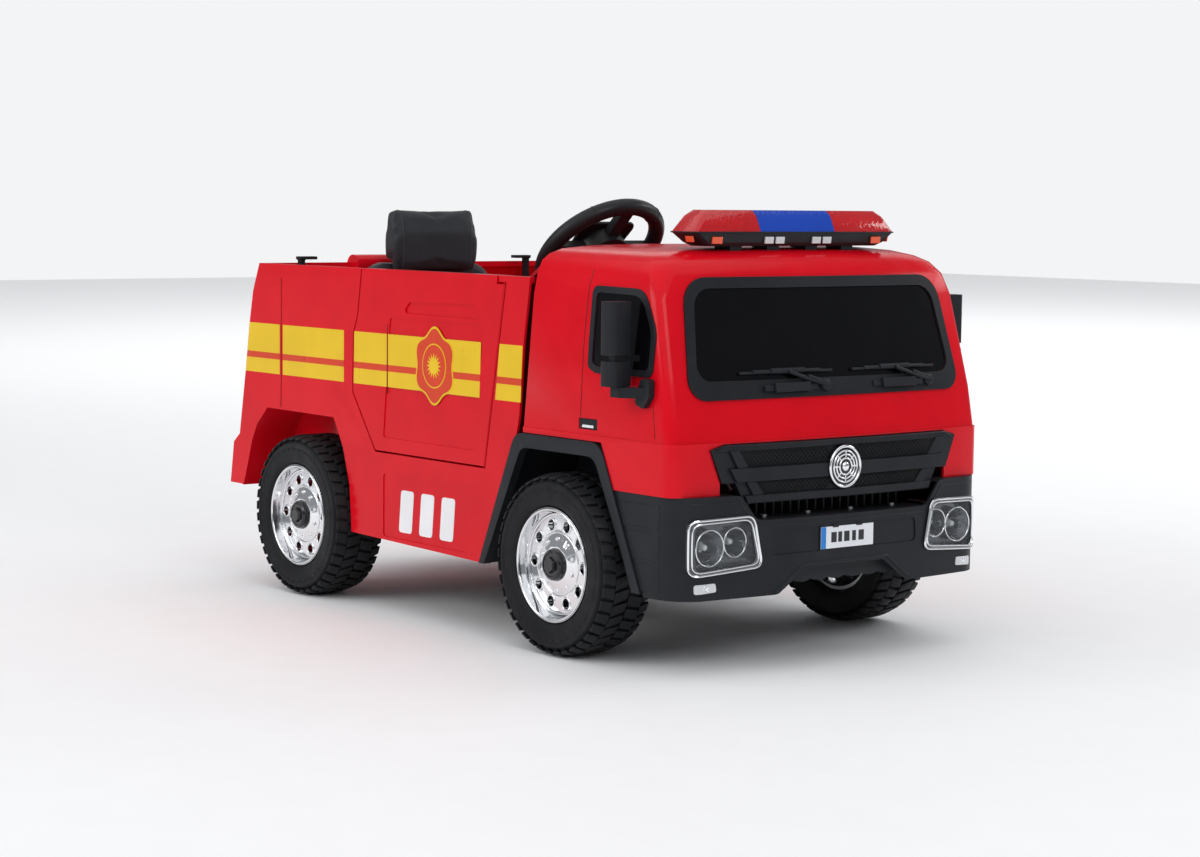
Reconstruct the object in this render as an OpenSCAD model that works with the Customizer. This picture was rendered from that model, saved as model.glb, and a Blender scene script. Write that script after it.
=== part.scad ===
// Battery-powered ride-on fire truck for one child.
// Millimetres, X forward, Y to the rider's left, Z up.
// The origin is on the ground under the middle of the body.

/* [Body] */
// Length from the tail of the body to the front of the bumper
body_len = 1178; // [1100:2:1260]
// Width of the body across its side panels
body_w = 574; // [540:2:640]
// Height of the bed's rim
rim_z = 522; // [490:1:560]
// Height of the crown of the cab roof
roof_z = 568; // [560:1:600]
// Wall of the moulded shells
wall = 4; // [3:0.5:5]
// Height of the bottom edge of the side skirts
skirt_z = 108; // [100:1:116]
// Height of the seat platform's top
platform_z = 293; // [290:1:300]
// Height of the cockpit floor's top
floor_z = 118; // [114:1:124]

/* [Wheels] */
// Distance between the front and rear axles
wheelbase = 669; // [655:1:680]
// Radius over the tread
tyre_r = 127.5; // [120:0.5:130]
// Width of the tyre
tyre_w = 88; // [70:1:96]
// Radius of the bright rim
rim_r = 80; // [70:1:88]
// Distance of the middle of each wheel from the centre plane
track_half = 264; // [258:1:272]
// Diameter of the axle rods and stub axles
axle_d = 12; // [8:0.5:16]
// Lightening holes in each rim
rim_holes = 10; // [6:1:12]

/* [Steering] */
// Diameter of the steering wheel to the middle of its tube
steer_d = 190; // [170:2:220]
// Diameter of the steering wheel's tube
steer_tube_d = 25; // [18:1:28]
// Tilt of the steering wheel from level
steer_tilt = 43; // [38:1:46]
// Largest turn of the front wheels to each side
lock_angle = 18; // [10:1:20]
// Distance of the kingpins from the centre plane
kingpin_y = 200; // [195:1:204]
// Length of the knuckle arms
knuckle_arm = 50; // [40:1:60]
// Radius of the crank at the foot of the steering shaft
crank_r = 24; // [20:0.5:28]

/* [Doors] */
// Gap round each door
door_gap = 3; // [2.5:0.5:5]
// Depth of each door from its outer face
door_depth = 20; // [16:1:28]
// Diameter of the door's hinge pins
door_pin_d = 6; // [4:0.5:7]

/* [Seat] */
// Width of the seat cushion
seat_w = 300; // [240:5:360]
// Thickness of the seat cushion
cushion_t = 42; // [30:1:60]
// Width of the backrest
back_w = 278; // [220:2:320]
// Width of the headrest
headrest_w = 164; // [120:2:200]
// Height of the headrest's top
headrest_z = 611; // [600:1:640]

/* [Light bar] */
// Length of the light bar
bar_len = 373; // [300:1:420]
// Depth of the light bar from front to back
bar_depth = 56; // [46:1:70]
// Length of the middle lens
bar_mid = 138; // [80:2:200]

/* [Fits] */
// Running clearance on the radius between a pin and its bore
run_fit = 0.05; // [0.02:0.01:0.1]
// Clearance between pieces that pass each other
pass_gap = 1; // [0.5:0.1:2]
// Seating gap between a soft piece and what carries it
soft_gap = 0.3; // [0.2:0.1:0.6]

/* [Hidden] */
$fn = 64;
eps = 0.01;
side_y = body_w / 2;
inner_y = side_y - wall;
tail_x = -body_len / 2;
nose_x = body_len / 2;
rear_axle_x = tail_x + 239;
front_axle_x = rear_axle_x + wheelbase;
axle_z = tyre_r;
right = -1;
left = 1;

// ---- outlines ---------------------------------------------------------------------------------

function unit(v) = v / norm(v);

// The arc that rounds corner b between a and c with radius r
function corner_arc(a, b, c, r, steps) =
    let(
        u = unit(a - b),
        v = unit(c - b),
        half = acos(u * v) / 2,
        centre = b + unit(u + v) * r / sin(half),
        start = b + u * r / tan(half) - centre,
        stop = b + v * r / tan(half) - centre,
        from = atan2(start.y, start.x),
        turn = (atan2(stop.y, stop.x) - from + 540) % 360 - 180
    )
    [for (i = [0:steps]) centre + r * [cos(from + turn * i / steps), sin(from + turn * i / steps)]];

// A closed outline with every corner rounded; radius 0 keeps a corner sharp
function rounded(points, radii, steps = 5) =
    let(n = len(points))
    [for (i = [0:n - 1])
        let(r = is_list(radii) ? radii[i] : radii)
        each (r <= 0 ? [points[i]]
            : corner_arc(points[(i + n - 1) % n], points[i], points[(i + 1) % n], r, steps))];

// A front end seen from above: bowed nose with round corners, closed at back_x where it is back_w wide
function nose_plan(front_x, half_w, bow, corner, back_x, back_w = 0) =
    let(
        run = half_w - corner,
        corner_x = front_x - bow * pow(run / half_w, 2) - corner,
        half = concat(
            [[back_x, max(back_w, half_w)]],
            [for (a = [90:-10:10]) [corner_x + corner * cos(a), run + corner * sin(a)]],
            [for (s = [1:-0.125:0]) [front_x - bow * pow(s * run / half_w, 2), s * run]]
        )
    )
    concat(half, [for (i = [len(half) - 2:-1:0]) [half[i].x, -half[i].y]]);

module slab_xz(points, y0, y1) {
    translate([0, y1, 0]) rotate([90, 0, 0]) linear_extrude(y1 - y0) polygon(points);
}

module slab_yz(points, x0, x1) {
    translate([x0, 0, 0]) rotate([90, 0, 90]) linear_extrude(x1 - x0) polygon(points);
}

module slab_xy(points, z0, z1) {
    translate([0, 0, z0]) linear_extrude(z1 - z0) polygon(points);
}

module both_sides() {
    children();
    mirror([0, 1, 0]) children();
}

module on_side(side) {
    if (side == left) children();
    else mirror([0, 1, 0]) children();
}

module block(x0, x1, y0, y1, z0, z1) {
    translate([x0, y0, z0]) cube([x1 - x0, y1 - y0, z1 - z0]);
}

// ---- places shared by several pieces ----------------------------------------------------------

// Tail of the body, seen from the side, from the rim down
tail_line = [
    [tail_x + 94, rim_z], [tail_x + 74, 477], [tail_x + 62, 422], [tail_x + 49, 342],
    [tail_x + 30, 240], [tail_x + 11, 225], [tail_x, 157]
];
rear_arch = [
    [rear_axle_x - 197, 157], [rear_axle_x - 189, 176], [rear_axle_x - 169, 232], [rear_axle_x - 153, 260],
    [rear_axle_x - 120, 289], [rear_axle_x + 80.5, 288], [rear_axle_x + 108, 243],
    [rear_axle_x + 127, 186], [rear_axle_x + 133, skirt_z + 6]
];
arch_top_z = 289;
well_y = 209;
bed_front = [
    [front_axle_x - 104.5, 303], [front_axle_x - 99, 330], [front_axle_x - 91, 426], [front_axle_x - 76, rim_z]
];
door_rear = [
    [front_axle_x - 510, rim_z], [front_axle_x - 521, 450], [front_axle_x - 533, 422],
    [front_axle_x - 535, 331], [front_axle_x - 470, 244]
];
door_front = [[front_axle_x - 181, 244], [front_axle_x - 132, rim_z]];
hinge_lean = atan2(door_front[1].x - door_front[0].x, door_front[1].y - door_front[0].y);
hinge_back = 10;
hinge_y = side_y - 7;
hinge_ear_z = rim_z - 9;
sill_z = door_front[0].y;

arch_trim_outer = [
    [front_axle_x - 190.5, skirt_z - 1], [front_axle_x - 104.5, 303], [front_axle_x + 89.5, 303],
    [front_axle_x + 179.5, skirt_z + 1]
];
arch_trim_inner = [
    [front_axle_x - 177.5, skirt_z - 2], [front_axle_x - 90, 283], [front_axle_x + 77, 283],
    [front_axle_x + 145, 148], [front_axle_x + 163, skirt_z - 2]
];
cheek_z = 242;
belt_z = 312;
cab_back_low = front_axle_x - 88;

grille_top_z = 309;
grille_bottom_z = 229;
bumper_nose = nose_x;
bumper_low_z = 105;
bumper_mid_z = 207;

steer_centre = [33, 0, 555];
column_dir = [sin(steer_tilt), 0, -cos(steer_tilt)];
kingpin_x = front_axle_x;
link_x = kingpin_x - knuckle_arm;
link_z = 150;
shaft_len = (steer_centre.z - link_z) / cos(steer_tilt) - crank_r * tan(steer_tilt);
crank_pin_x = steer_centre.x + shaft_len * sin(steer_tilt) - crank_r * cos(steer_tilt);
link_pin_d = 6;
link_slack = 0.9;
kingpin_d = 10;
dash_low = [steer_centre.x + 74, 455];
dash_high = [front_axle_x - 59, roof_z - 10];
dash_slope = atan2(dash_high.y - dash_low.y, dash_high.x - dash_low.x);
button_d = 18;
toe_x = front_axle_x - 200;
pedal_hinge = [toe_x - 75, -62, floor_z + 9];
pedal_pin_d = 6;

bar_x = front_axle_x + 132.5;
bar_base_z = 564;
bar_split_z = 588;
bar_top_z = 618;

module along_column(distance) {
    translate(steer_centre + column_dir * distance) rotate([0, 180 - steer_tilt, 0]) children();
}

module at_door_hinge(z) {
    x = door_front[0].x - hinge_back + (z - sill_z) * tan(hinge_lean);
    translate([x, hinge_y, z]) rotate([0, hinge_lean, 0]) children();
}

// ---- chassis ----------------------------------------------------------------------------------

deck_z = 200;
deck_half = 150;
gearbox_y = well_y - wall - 36;

module floor_pan() {
    tray_back = rear_axle_x + 12;
    well_front = rear_axle_x + 134 + wall;
    shelf_z = bumper_mid_z - wall;
    fold = [
        [tray_back, floor_z - 6], [toe_x, floor_z - 6], [toe_x + 34, deck_z], [nose_x - 40, deck_z],
        [nose_x - 40, shelf_z], [nose_x - 60, shelf_z], [nose_x - 60, deck_z + 6],
        [toe_x + 30, deck_z + 6], [toe_x - 4, floor_z], [tray_back, floor_z]
    ];
    color("dimgray")
    difference() {
        union() {
            slab_xz(fold, -deck_half, deck_half);
            slab_xy([
                [tray_back, -gearbox_y + 1], [rear_axle_x + 66, -gearbox_y + 1], [rear_axle_x + 66, -well_y + wall],
                [well_front, -well_y + wall], [well_front, -inner_y], [toe_x, -inner_y],
                [toe_x, inner_y], [well_front, inner_y], [well_front, well_y - wall],
                [rear_axle_x + 66, well_y - wall], [rear_axle_x + 66, gearbox_y - 1], [tray_back, gearbox_y - 1]
            ], floor_z - 6, floor_z);
            both_sides() block(toe_x + 34, nose_x - 40, deck_half - wall, deck_half, 166, deck_z + eps);
            along_column(shaft_len - 62) cylinder(d = axle_d + 14, h = 26);
            for (y = [-36.5, 31.5])
                translate([pedal_hinge.x, pedal_hinge.y + y + 2.5, 0]) slab_xz([
                    [-9, floor_z - 0.1], [9, floor_z - 0.1], [6, pedal_hinge.z + 6], [-6, pedal_hinge.z + 6]
                ], -2.5, 2.5);
        }
        translate(pedal_hinge) rotate([90, 0, 0])
            cylinder(d = pedal_pin_d + 2 * run_fit, h = 90, center = true);
        along_column(shaft_len - 160) cylinder(d = axle_d + 2 * run_fit, h = 220);
        block(-40, 60, -3, 3, floor_z - 7, floor_z + 1);
    }
}

module front_axle_beam() {
    fork_z = 14.5;
    color("silver")
    union() {
        block(kingpin_x - 11, kingpin_x + 11, -kingpin_y + 16, kingpin_y - 16, axle_z - 11, axle_z + 11);
        both_sides() {
            for (z = [axle_z - fork_z - 8, axle_z + fork_z])
                block(kingpin_x - 11, kingpin_x + 11, kingpin_y - 30, kingpin_y + 10, z, z + 8);
            block(kingpin_x - 11, kingpin_x + 11, kingpin_y - 30, kingpin_y - 15,
                axle_z - fork_z - 1, axle_z + fork_z + 1);
            translate([kingpin_x, kingpin_y, axle_z - fork_z - 1]) cylinder(d = kingpin_d, h = 2 * fork_z + 2);
            block(kingpin_x - 11, kingpin_x + 11, deck_half - 14, deck_half, axle_z + 10, 166);
        }
    }
}

module rear_axle() {
    color("silver")
    translate([rear_axle_x, 0, axle_z]) rotate([90, 0, 0])
        cylinder(d = axle_d, h = 2 * (track_half + 36), center = true);
}

module gearboxes() {
    boss_d = 44;
    color("dimgray")
    both_sides()
    difference() {
        union() {
            slab_xz(rounded([
                [rear_axle_x - 34, axle_z - 30], [rear_axle_x + 60, axle_z - 14],
                [rear_axle_x + 60, axle_z + 44], [rear_axle_x - 34, axle_z + 34]
            ], 10), gearbox_y, well_y - wall);
            translate([rear_axle_x, track_half - tyre_w / 2 - 2, axle_z]) rotate([90, 0, 0])
                cylinder(d = boss_d, h = 20);
            translate([rear_axle_x + 38, well_y - wall - 35, axle_z + 16]) rotate([90, 0, 0])
                cylinder(d = 36, h = 58);
        }
        translate([rear_axle_x, track_half, axle_z]) rotate([90, 0, 0])
            cylinder(d = axle_d + 4 * run_fit, h = 160);
    }
}

module battery() {
    color("darkslategray")
    union() {
        block(rear_axle_x + 70, rear_axle_x + 165, -75, 75, floor_z, floor_z + 88);
        for (y = [-55, 55])
            block(rear_axle_x + 80, rear_axle_x + 92, y - 6, y + 6, floor_z + 87, floor_z + 96);
    }
}

module controller() {
    color("black")
    block(rear_axle_x + 60, rear_axle_x + 150, -150, -92, platform_z - wall - 30, platform_z - wall);
}

// ---- body shells ------------------------------------------------------------------------------

module bed_side() {
    outline = concat(
        tail_line,
        rear_arch,
        [[front_axle_x - 190.5, skirt_z - 1]],
        bed_front
    );
    difference() {
        slab_xz(outline, inner_y, side_y);
        slab_xz(concat(door_rear, [door_front[0], door_front[1] - [0, 9], door_front[1] - [18, 9],
            door_front[1] + [-18, 1], [door_rear[0].x, rim_z + 1]]), inner_y - 1, side_y + 1);
        slab_xz(rounded([
            [front_axle_x - 447, skirt_z + 9], [front_axle_x - 225, skirt_z + 9],
            [front_axle_x - 213, skirt_z + 105], [front_axle_x - 447, skirt_z + 105]
        ], 6), side_y - 1.5, side_y + 1);
    }
}

module rear_body() {
    tail_inner = [for (i = [len(tail_line) - 1:-1:0]) tail_line[i] + [wall, 0]];
    well_outer = [
        [rear_axle_x - 120 - 2, arch_top_z + wall], [rear_axle_x + 80.5 + 2, 288 + wall],
        [rear_axle_x + 108 + wall, 245], [rear_axle_x + 127 + wall, 187],
        [rear_axle_x + 133 + wall, skirt_z + 6],
        [rear_axle_x - 60, skirt_z + 6], [rear_axle_x - 197 - wall, 157],
        [rear_axle_x - 169 - wall, 234], [rear_axle_x - 153 - wall, 262]
    ];
    well_inner = concat(rear_arch, [[rear_axle_x + 133, skirt_z + 5], [rear_axle_x - 197, skirt_z + 5]]);
    bulkhead_x = tail_x + 132;
    deck_top = rim_z - 28;
    riser_x = front_axle_x - 466;
    color("red")
    difference() {
        union() {
            both_sides() bed_side();
            slab_xz(concat(tail_line, tail_inner), -side_y + eps, side_y - eps);
            both_sides() difference() {
                slab_xz(well_outer, well_y - wall, side_y - eps);
                slab_xz(well_inner, well_y, side_y + 1);
            }
            // seat platform with its riser, rear deck and the bulkhead behind the backrest
            block(bulkhead_x, riser_x, -inner_y + door_depth, inner_y - door_depth,
                platform_z - wall, platform_z);
            block(tail_x + 40, bulkhead_x + 80, -inner_y - eps, inner_y + eps, platform_z - wall, platform_z);
            block(riser_x - wall, riser_x, -inner_y + door_depth, inner_y - door_depth,
                floor_z, platform_z);
            block(bulkhead_x - wall, bulkhead_x, -inner_y - eps, inner_y + eps, platform_z - wall, deck_top);
            block(tail_x + 84, bulkhead_x, -inner_y - eps, inner_y + eps, deck_top - wall, deck_top);
            // rolled rim
            both_sides() {
                slab_xz([[tail_x + 90, rim_z - 9], [tail_x + 94, rim_z], [door_rear[0].x, rim_z],
                    [door_rear[0].x, rim_z - 9]], inner_y - 6, inner_y + eps);
                block(door_front[1].x + 1, front_axle_x - 78, inner_y - 6, inner_y + eps, rim_z - 9, rim_z);
            }
            slab_xz([[tail_x + 90, rim_z - 9], [tail_x + 94, rim_z], [tail_x + 102, rim_z],
                [tail_x + 102, rim_z - 9]], -side_y + 1, side_y - 1);
            // roll moulded across the rear deck
            translate([tail_x + 109, 0, rim_z - 5]) rotate([90, 0, 0])
                cylinder(r = 18, h = 236, center = true);
            block(tail_x + 94, tail_x + 126, -114, 114, deck_top - 1, rim_z - 5);
            // hinge ears at the rim and hinge sockets in the sill
            both_sides() {
                slab_xz([door_front[1] + [2, 0], door_front[1] + [0.5, -9], door_front[1] + [-17.5, -9],
                    door_front[1] + [-16.5, 0]], hinge_y - 7, side_y);
                slab_xz([door_front[0] + [-26, 0], door_front[0] + [6, 0], door_front[0] + [6, -16],
                    door_front[0] + [-26, -16]], hinge_y - 8, side_y - wall + eps);
                block(door_rear[4].x, door_front[0].x + 4, inner_y - 12, inner_y + eps, sill_z - wall, sill_z);
            }
        }
        both_sides() {
            at_door_hinge(sill_z - 30) cylinder(d = door_pin_d + 2 * run_fit, h = 320);
            translate([rear_axle_x, well_y + 1, axle_z]) rotate([90, 0, 0]) cylinder(d = 45, h = 8);
        }
    }
}

// Levels of the cab shell: height, half width at the nose, nose, bow, corner radius, back, half width there
cab_levels = [
    [belt_z, side_y, nose_x - 22, 13, 18, cab_back_low, side_y],
    [369, side_y - 2, nose_x - 31.5, 13, 18, front_axle_x - 82, side_y - 0.5],
    [500, side_y - 10, nose_x - 64, 13, 18, front_axle_x - 69, side_y - 2],
    [roof_z - 38, side_y - 18, nose_x - 71.5, 13, 24, front_axle_x - 66, side_y - 6],
    [roof_z - 22, side_y - 28, nose_x - 81, 14, 34, front_axle_x - 64, side_y - 12],
    [roof_z - 13, side_y - 42, nose_x - 93, 15, 44, front_axle_x - 61, side_y - 22],
    [roof_z - 6, side_y - 64, nose_x - 111, 16, 60, front_axle_x - 57, side_y - 42],
    [roof_z - 2, side_y - 106, nose_x - 139, 14, 60, front_axle_x - 54, side_y - 90],
    [roof_z, side_y - 176, nose_x - 179, 10, 60, front_axle_x - 52, side_y - 170]
];

// Face of the cab's front at a place on the windscreen
function screen_x(y, z) =
    cab_levels[1][2] - (z - cab_levels[1][0]) * (cab_levels[1][2] - cab_levels[2][2])
        / (cab_levels[2][0] - cab_levels[1][0]) - cab_levels[1][3] * pow(y / side_y, 2);

// The cab's outer form grown by a margin, which is negative inside the shell
module cab_form(margin) {
    hull()
    for (level = cab_levels) {
        rise = level[0] > 500 ? margin : 0;
        translate([0, 0, level[0] + rise])
            linear_extrude(0.02)
            polygon(nose_plan(level[2] + margin, level[1] + margin, level[3],
                max(level[4] + margin, 4), level[5], level[6] + margin));
    }
}

screen_outline = rounded([[-253, 367], [253, 367], [234, 529], [-234, 529]], [26, 26, 40, 40], 6);
screen_opening = rounded([[-236, 392], [236, 392], [220, 514], [-220, 514]], [20, 20, 28, 28], 6);
window_outline = rounded([
    [front_axle_x + 58, 404], [front_axle_x + 74, 397], [front_axle_x + 193, 397],
    [front_axle_x + 195, 457], [front_axle_x + 168, 513], [front_axle_x + 60, 515]
], [8, 10, 12, 60, 36, 10], 6);
window_opening = rounded([
    [front_axle_x + 67, 411], [front_axle_x + 78, 406], [front_axle_x + 184, 406],
    [front_axle_x + 186, 457], [front_axle_x + 162, 504], [front_axle_x + 69, 506]
], [5, 7, 8, 50, 30, 7], 6);

module cab_body() {
    cheek_side = [
        [cab_back_low, belt_z], [front_axle_x - 100, 304], [front_axle_x + 89.5, 304],
        [front_axle_x + 118, cheek_z], [nose_x, cheek_z], [nose_x, belt_z]
    ];
    color("red")
    difference() {
        union() {
            difference() {
                cab_form(0);
                translate([-2 * wall, 0, -1]) cab_form(-wall);
                slab_yz(screen_opening, nose_x - 140, nose_x + 1);
                slab_xz(window_opening, -side_y - 1, side_y + 1);
                // shallow pocket behind each door pull
                both_sides() block(front_axle_x + 38, front_axle_x + 79, side_y - 3, side_y + 1, 319, 334);
            }
            intersection() {
                difference() {
                    slab_xy(nose_plan(nose_x - 18, side_y + 1.5, 13, 22, cab_back_low), cheek_z, belt_z + 1.5);
                    slab_xy(nose_plan(nose_x - 18 - wall, side_y - 2.5, 13, 18, cab_back_low - 1),
                        cheek_z - 1, belt_z - wall);
                    slab_xy(nose_plan(nose_x - 60, side_y - 36, 13, 18, cab_back_low - 1),
                        cheek_z - 1, belt_z + 2);
                    slab_yz([[-210, cheek_z - 1], [210, cheek_z - 1], [210, 258], [228, 303], [204, belt_z - 2],
                        [-204, belt_z - 2], [-228, 303], [-210, 258]], nose_x - 62, nose_x + 1);
                }
                slab_xz(cheek_side, -side_y - 2, side_y + 2);
            }
        }
        slab_xz([[cab_back_low + 4, 200], [front_axle_x - 100, 304], [front_axle_x + 89.5, 304],
            [front_axle_x + 118, cheek_z], [front_axle_x + 118, 200]], -side_y - 3, side_y + 3);
    }
}

module dash_panel() {
    knee = [dash_low.x + 2, 430];
    foot = [toe_x + 30, deck_z + 6];
    skin = wall;
    profile = [
        dash_high, dash_low, knee, foot, foot + [skin, 0], knee + [skin + 1, 1],
        dash_low + [skin + 1, -1], dash_high + [skin + 2, -skin]
    ];
    half_w = side_y - door_depth - 6;
    // its upper corners follow the roof's
    front_view = [
        [-half_w, foot.y - 1], [half_w, foot.y - 1], [half_w, roof_z - 48], [half_w - 3, roof_z - 21],
        [half_w - 23, roof_z - 13], [half_w - 70, roof_z - 9], [-half_w + 70, roof_z - 9],
        [-half_w + 23, roof_z - 13], [-half_w + 3, roof_z - 21], [-half_w, roof_z - 48]
    ];
    color("firebrick")
    difference() {
        union() {
            intersection() {
                slab_xz(profile, -half_w, half_w);
                slab_yz(front_view, steer_centre.x, front_axle_x);
            }
            // cowl over the column
            intersection() {
                along_column(86) cylinder(d = 130, h = 40);
                slab_xz([dash_low - [30, 35], dash_high + [2, -1], [dash_high.x + 2, 420]], -80, 80);
            }
            along_column(84) cylinder(d = axle_d + 18, h = 60);
        }
        along_column(60) cylinder(d = axle_d + 2 * run_fit, h = 160);
        at_dash_button() cylinder(d = button_d + pass_gap, h = 40, center = true);
    }
}

// The power button's place in the middle of the sloping face, out along its normal
module at_dash_button() {
    middle = (dash_low + dash_high) / 2;
    translate([middle.x, -112, middle.y]) rotate([0, -dash_slope, 0]) children();
}

module power_button() {
    travel = 3;
    color("crimson")
    at_dash_button() union() {
        translate([0, 0, -8]) cylinder(d = button_d, h = 8 + travel + pass_gap);
        translate([0, 0, travel + pass_gap - eps]) cylinder(d = button_d + 6, h = 5);
    }
}

module right_arch_trim() arch_trim(right);
module left_arch_trim() arch_trim(left);

module arch_trim(side) {
    liner_inner = [
        [front_axle_x - 177.5, skirt_z - 2], [front_axle_x - 97, 290], [front_axle_x + 99, 292],
        [front_axle_x + 176, 170], [front_axle_x + 178, skirt_z - 2]
    ];
    liner_outer = [
        [front_axle_x - 181.5, skirt_z], [front_axle_x - 99, 294], [front_axle_x + 101, 296],
        [front_axle_x + 180, 171], [front_axle_x + 182, skirt_z]
    ];
    color("dimgray")
    on_side(side) {
        difference() {
            slab_xz(rounded(arch_trim_outer, [0, 26, 30, 0]), side_y - 9, side_y + 4);
            slab_xz(rounded(arch_trim_inner, [0, 18, 24, 60, 0]), side_y - 10, side_y + 5);
            slab_xz([[front_axle_x - 195, skirt_z], [front_axle_x - 110, 296], [front_axle_x - 103, 296],
                [front_axle_x - 190, skirt_z - 4]], side_y - 10, side_y + eps);
        }
        difference() {
            slab_xz(liner_outer, deck_half + 22, side_y - wall - 5);
            slab_xz(liner_inner, deck_half + 22, side_y);
        }
        intersection() {
            slab_xz(liner_outer, deck_half + 18, deck_half + 22.01);
            block(front_axle_x - 200, nose_x, 0, side_y, 172, 300);
        }
    }
}

// ---- front end --------------------------------------------------------------------------------

headlamp_outline = rounded([[264, 140], [155, 148], [168, 212], [264, 209]], [10, 12, 12, 10]);
headlamp_bezel = rounded([[268, 136], [150, 144], [165, 216], [268, 213]], [12, 14, 14, 12]);
fog_outline = rounded([[258, 114], [224, 116], [226, 128], [258, 127]], 3);

function flipped(points) = [for (i = [len(points) - 1:-1:0]) [-points[i].x, points[i].y]];

// A band that follows the bumper's face: from depth behind it to proud in front of it
module bumper_band(depth, proud, z0, z1) {
    difference() {
        slab_xy(nose_plan(bumper_nose - 0.5 + proud, side_y + proud, 20, 50 + proud, front_axle_x + 110), z0, z1);
        slab_xy(nose_plan(bumper_nose - 0.5 - depth, side_y - depth, 20, 50 - min(depth, 40),
            front_axle_x + 109), z0 - 1, z1 + 1);
    }
}

module front_bumper() {
    front_outline = [
        [-side_y - 2, bumper_low_z], [-122, bumper_low_z], [-72, 138], [72, 138], [122, bumper_low_z],
        [side_y + 2, bumper_low_z], [side_y + 2, cheek_z], [186, cheek_z], [158, bumper_mid_z],
        [-158, bumper_mid_z], [-186, cheek_z], [-side_y - 2, cheek_z]
    ];
    side_outline = [
        [front_axle_x + 118.3, cheek_z], [nose_x + 1, cheek_z], [nose_x + 1, bumper_low_z],
        [front_axle_x + 182, bumper_low_z]
    ];
    // room for the wheel-arch liners
    liner_room = [
        [front_axle_x + 60, 300], [front_axle_x + 101.5, 296], [front_axle_x + 180.5, 171],
        [front_axle_x + 182.5, 100], [front_axle_x + 60, 100]
    ];
    color("dimgray")
    difference() {
        intersection() {
            union() {
                bumper_band(wall, 0, bumper_low_z, cheek_z);
                bumper_band(34, -1, cheek_z - wall, cheek_z);
                intersection() {
                    bumper_band(46, -1, bumper_mid_z - wall, bumper_mid_z);
                    block(nose_x - 90, nose_x, -158, 158, 190, bumper_mid_z);
                }
            }
            slab_yz(rounded(front_outline, [0, 16, 14, 14, 16, 0, 0, 12, 20, 20, 12, 0], 4),
                front_axle_x + 100, nose_x + 1);
            slab_xz(side_outline, -side_y - 1, side_y + 1);
        }
        slab_xz(liner_room, -side_y + wall + 4.5, side_y - wall - 4.5);
        slab_yz(headlamp_outline, nose_x - 60, nose_x + 1);
        slab_yz(flipped(headlamp_outline), nose_x - 60, nose_x + 1);
        slab_yz(fog_outline, nose_x - 60, nose_x + 1);
        slab_yz(flipped(fog_outline), nose_x - 60, nose_x + 1);
        intersection() {
            slab_yz(rounded([[-137, 159], [137, 159], [134, 193], [-134, 193]], 8), nose_x - 8, nose_x + 1);
            difference() {
                bumper_band(1.5, 1, 150, 200);
                block(nose_x - 20, nose_x + 2, -50, 50, 150, 200);
            }
        }
    }
}

module headlamp(side) {
    outline = side == left ? headlamp_outline : flipped(headlamp_outline);
    bezel = side == left ? headlamp_bezel : flipped(headlamp_bezel);
    color("silver")
    difference() {
        union() {
            intersection() {
                bumper_band(0, 2.5, 130, 220);
                slab_yz(bezel, nose_x - 60, nose_x + 4);
            }
            slab_yz(scale_to(outline, 0.995), nose_x - 58, nose_x - 36);
            intersection() {
                bumper_band(40, 0, 130, 220);
                slab_yz(scale_to(outline, 0.995), nose_x - 56, nose_x + 4);
            }
        }
        intersection() {
            bumper_band(14, 4, 130, 220);
            slab_yz(scale_to(outline, 0.9), nose_x - 52, nose_x + 5);
        }
        for (bowl = [[side * 232, 174, 25], [side * 188, 179, 20]])
            translate([nose_x - 50, bowl[0], bowl[1]]) rotate([0, 90, 0])
                cylinder(r1 = 6, r2 = bowl[2], h = 34);
    }
}

// An outline scaled about the middle of its bounds
function scale_to(points, f) =
    let(
        xs = [for (p = points) p.x],
        ys = [for (p = points) p.y],
        mid = [(max(xs) + min(xs)) / 2, (max(ys) + min(ys)) / 2]
    )
    [for (p = points) mid + (p - mid) * f];

module right_headlamp() headlamp(right);
module left_headlamp() headlamp(left);

module headlamp_lenses() {
    color("whitesmoke")
    for (outline = [headlamp_outline, flipped(headlamp_outline)])
        intersection() {
            bumper_band(1, 1.5, 130, 220);
            slab_yz(scale_to(outline, 0.895), nose_x - 60, nose_x + 4);
        }
}

module fog_lamps() {
    color("gainsboro")
    for (outline = [fog_outline, flipped(fog_outline)])
        intersection() {
            bumper_band(10, 1, 105, 135);
            slab_yz(scale_to(outline, 0.99), nose_x - 60, nose_x + 4);
        }
}

module number_plate() {
    color("white")
    block(nose_x - 0.5, nose_x, -49, 49, 161, 191);
}

module skid_plate() {
    teeth = 7;
    pitch = 220 / teeth;
    wave = [for (i = [0:teeth * 4]) [-110 + i * pitch / 4, 119 - 4 * abs(sin(i * 45))]];
    color("dimgray")
    union() {
        slab_yz(concat(wave, [[104, 134], [-104, 134]]), nose_x - 26, nose_x - 20);
        block(nose_x - 60, nose_x - 20 - eps, -104, 104, 134 - eps, 138);
        both_sides() block(nose_x - 60, nose_x - 54, 60, 90, 137.9, deck_z);
    }
}

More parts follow.
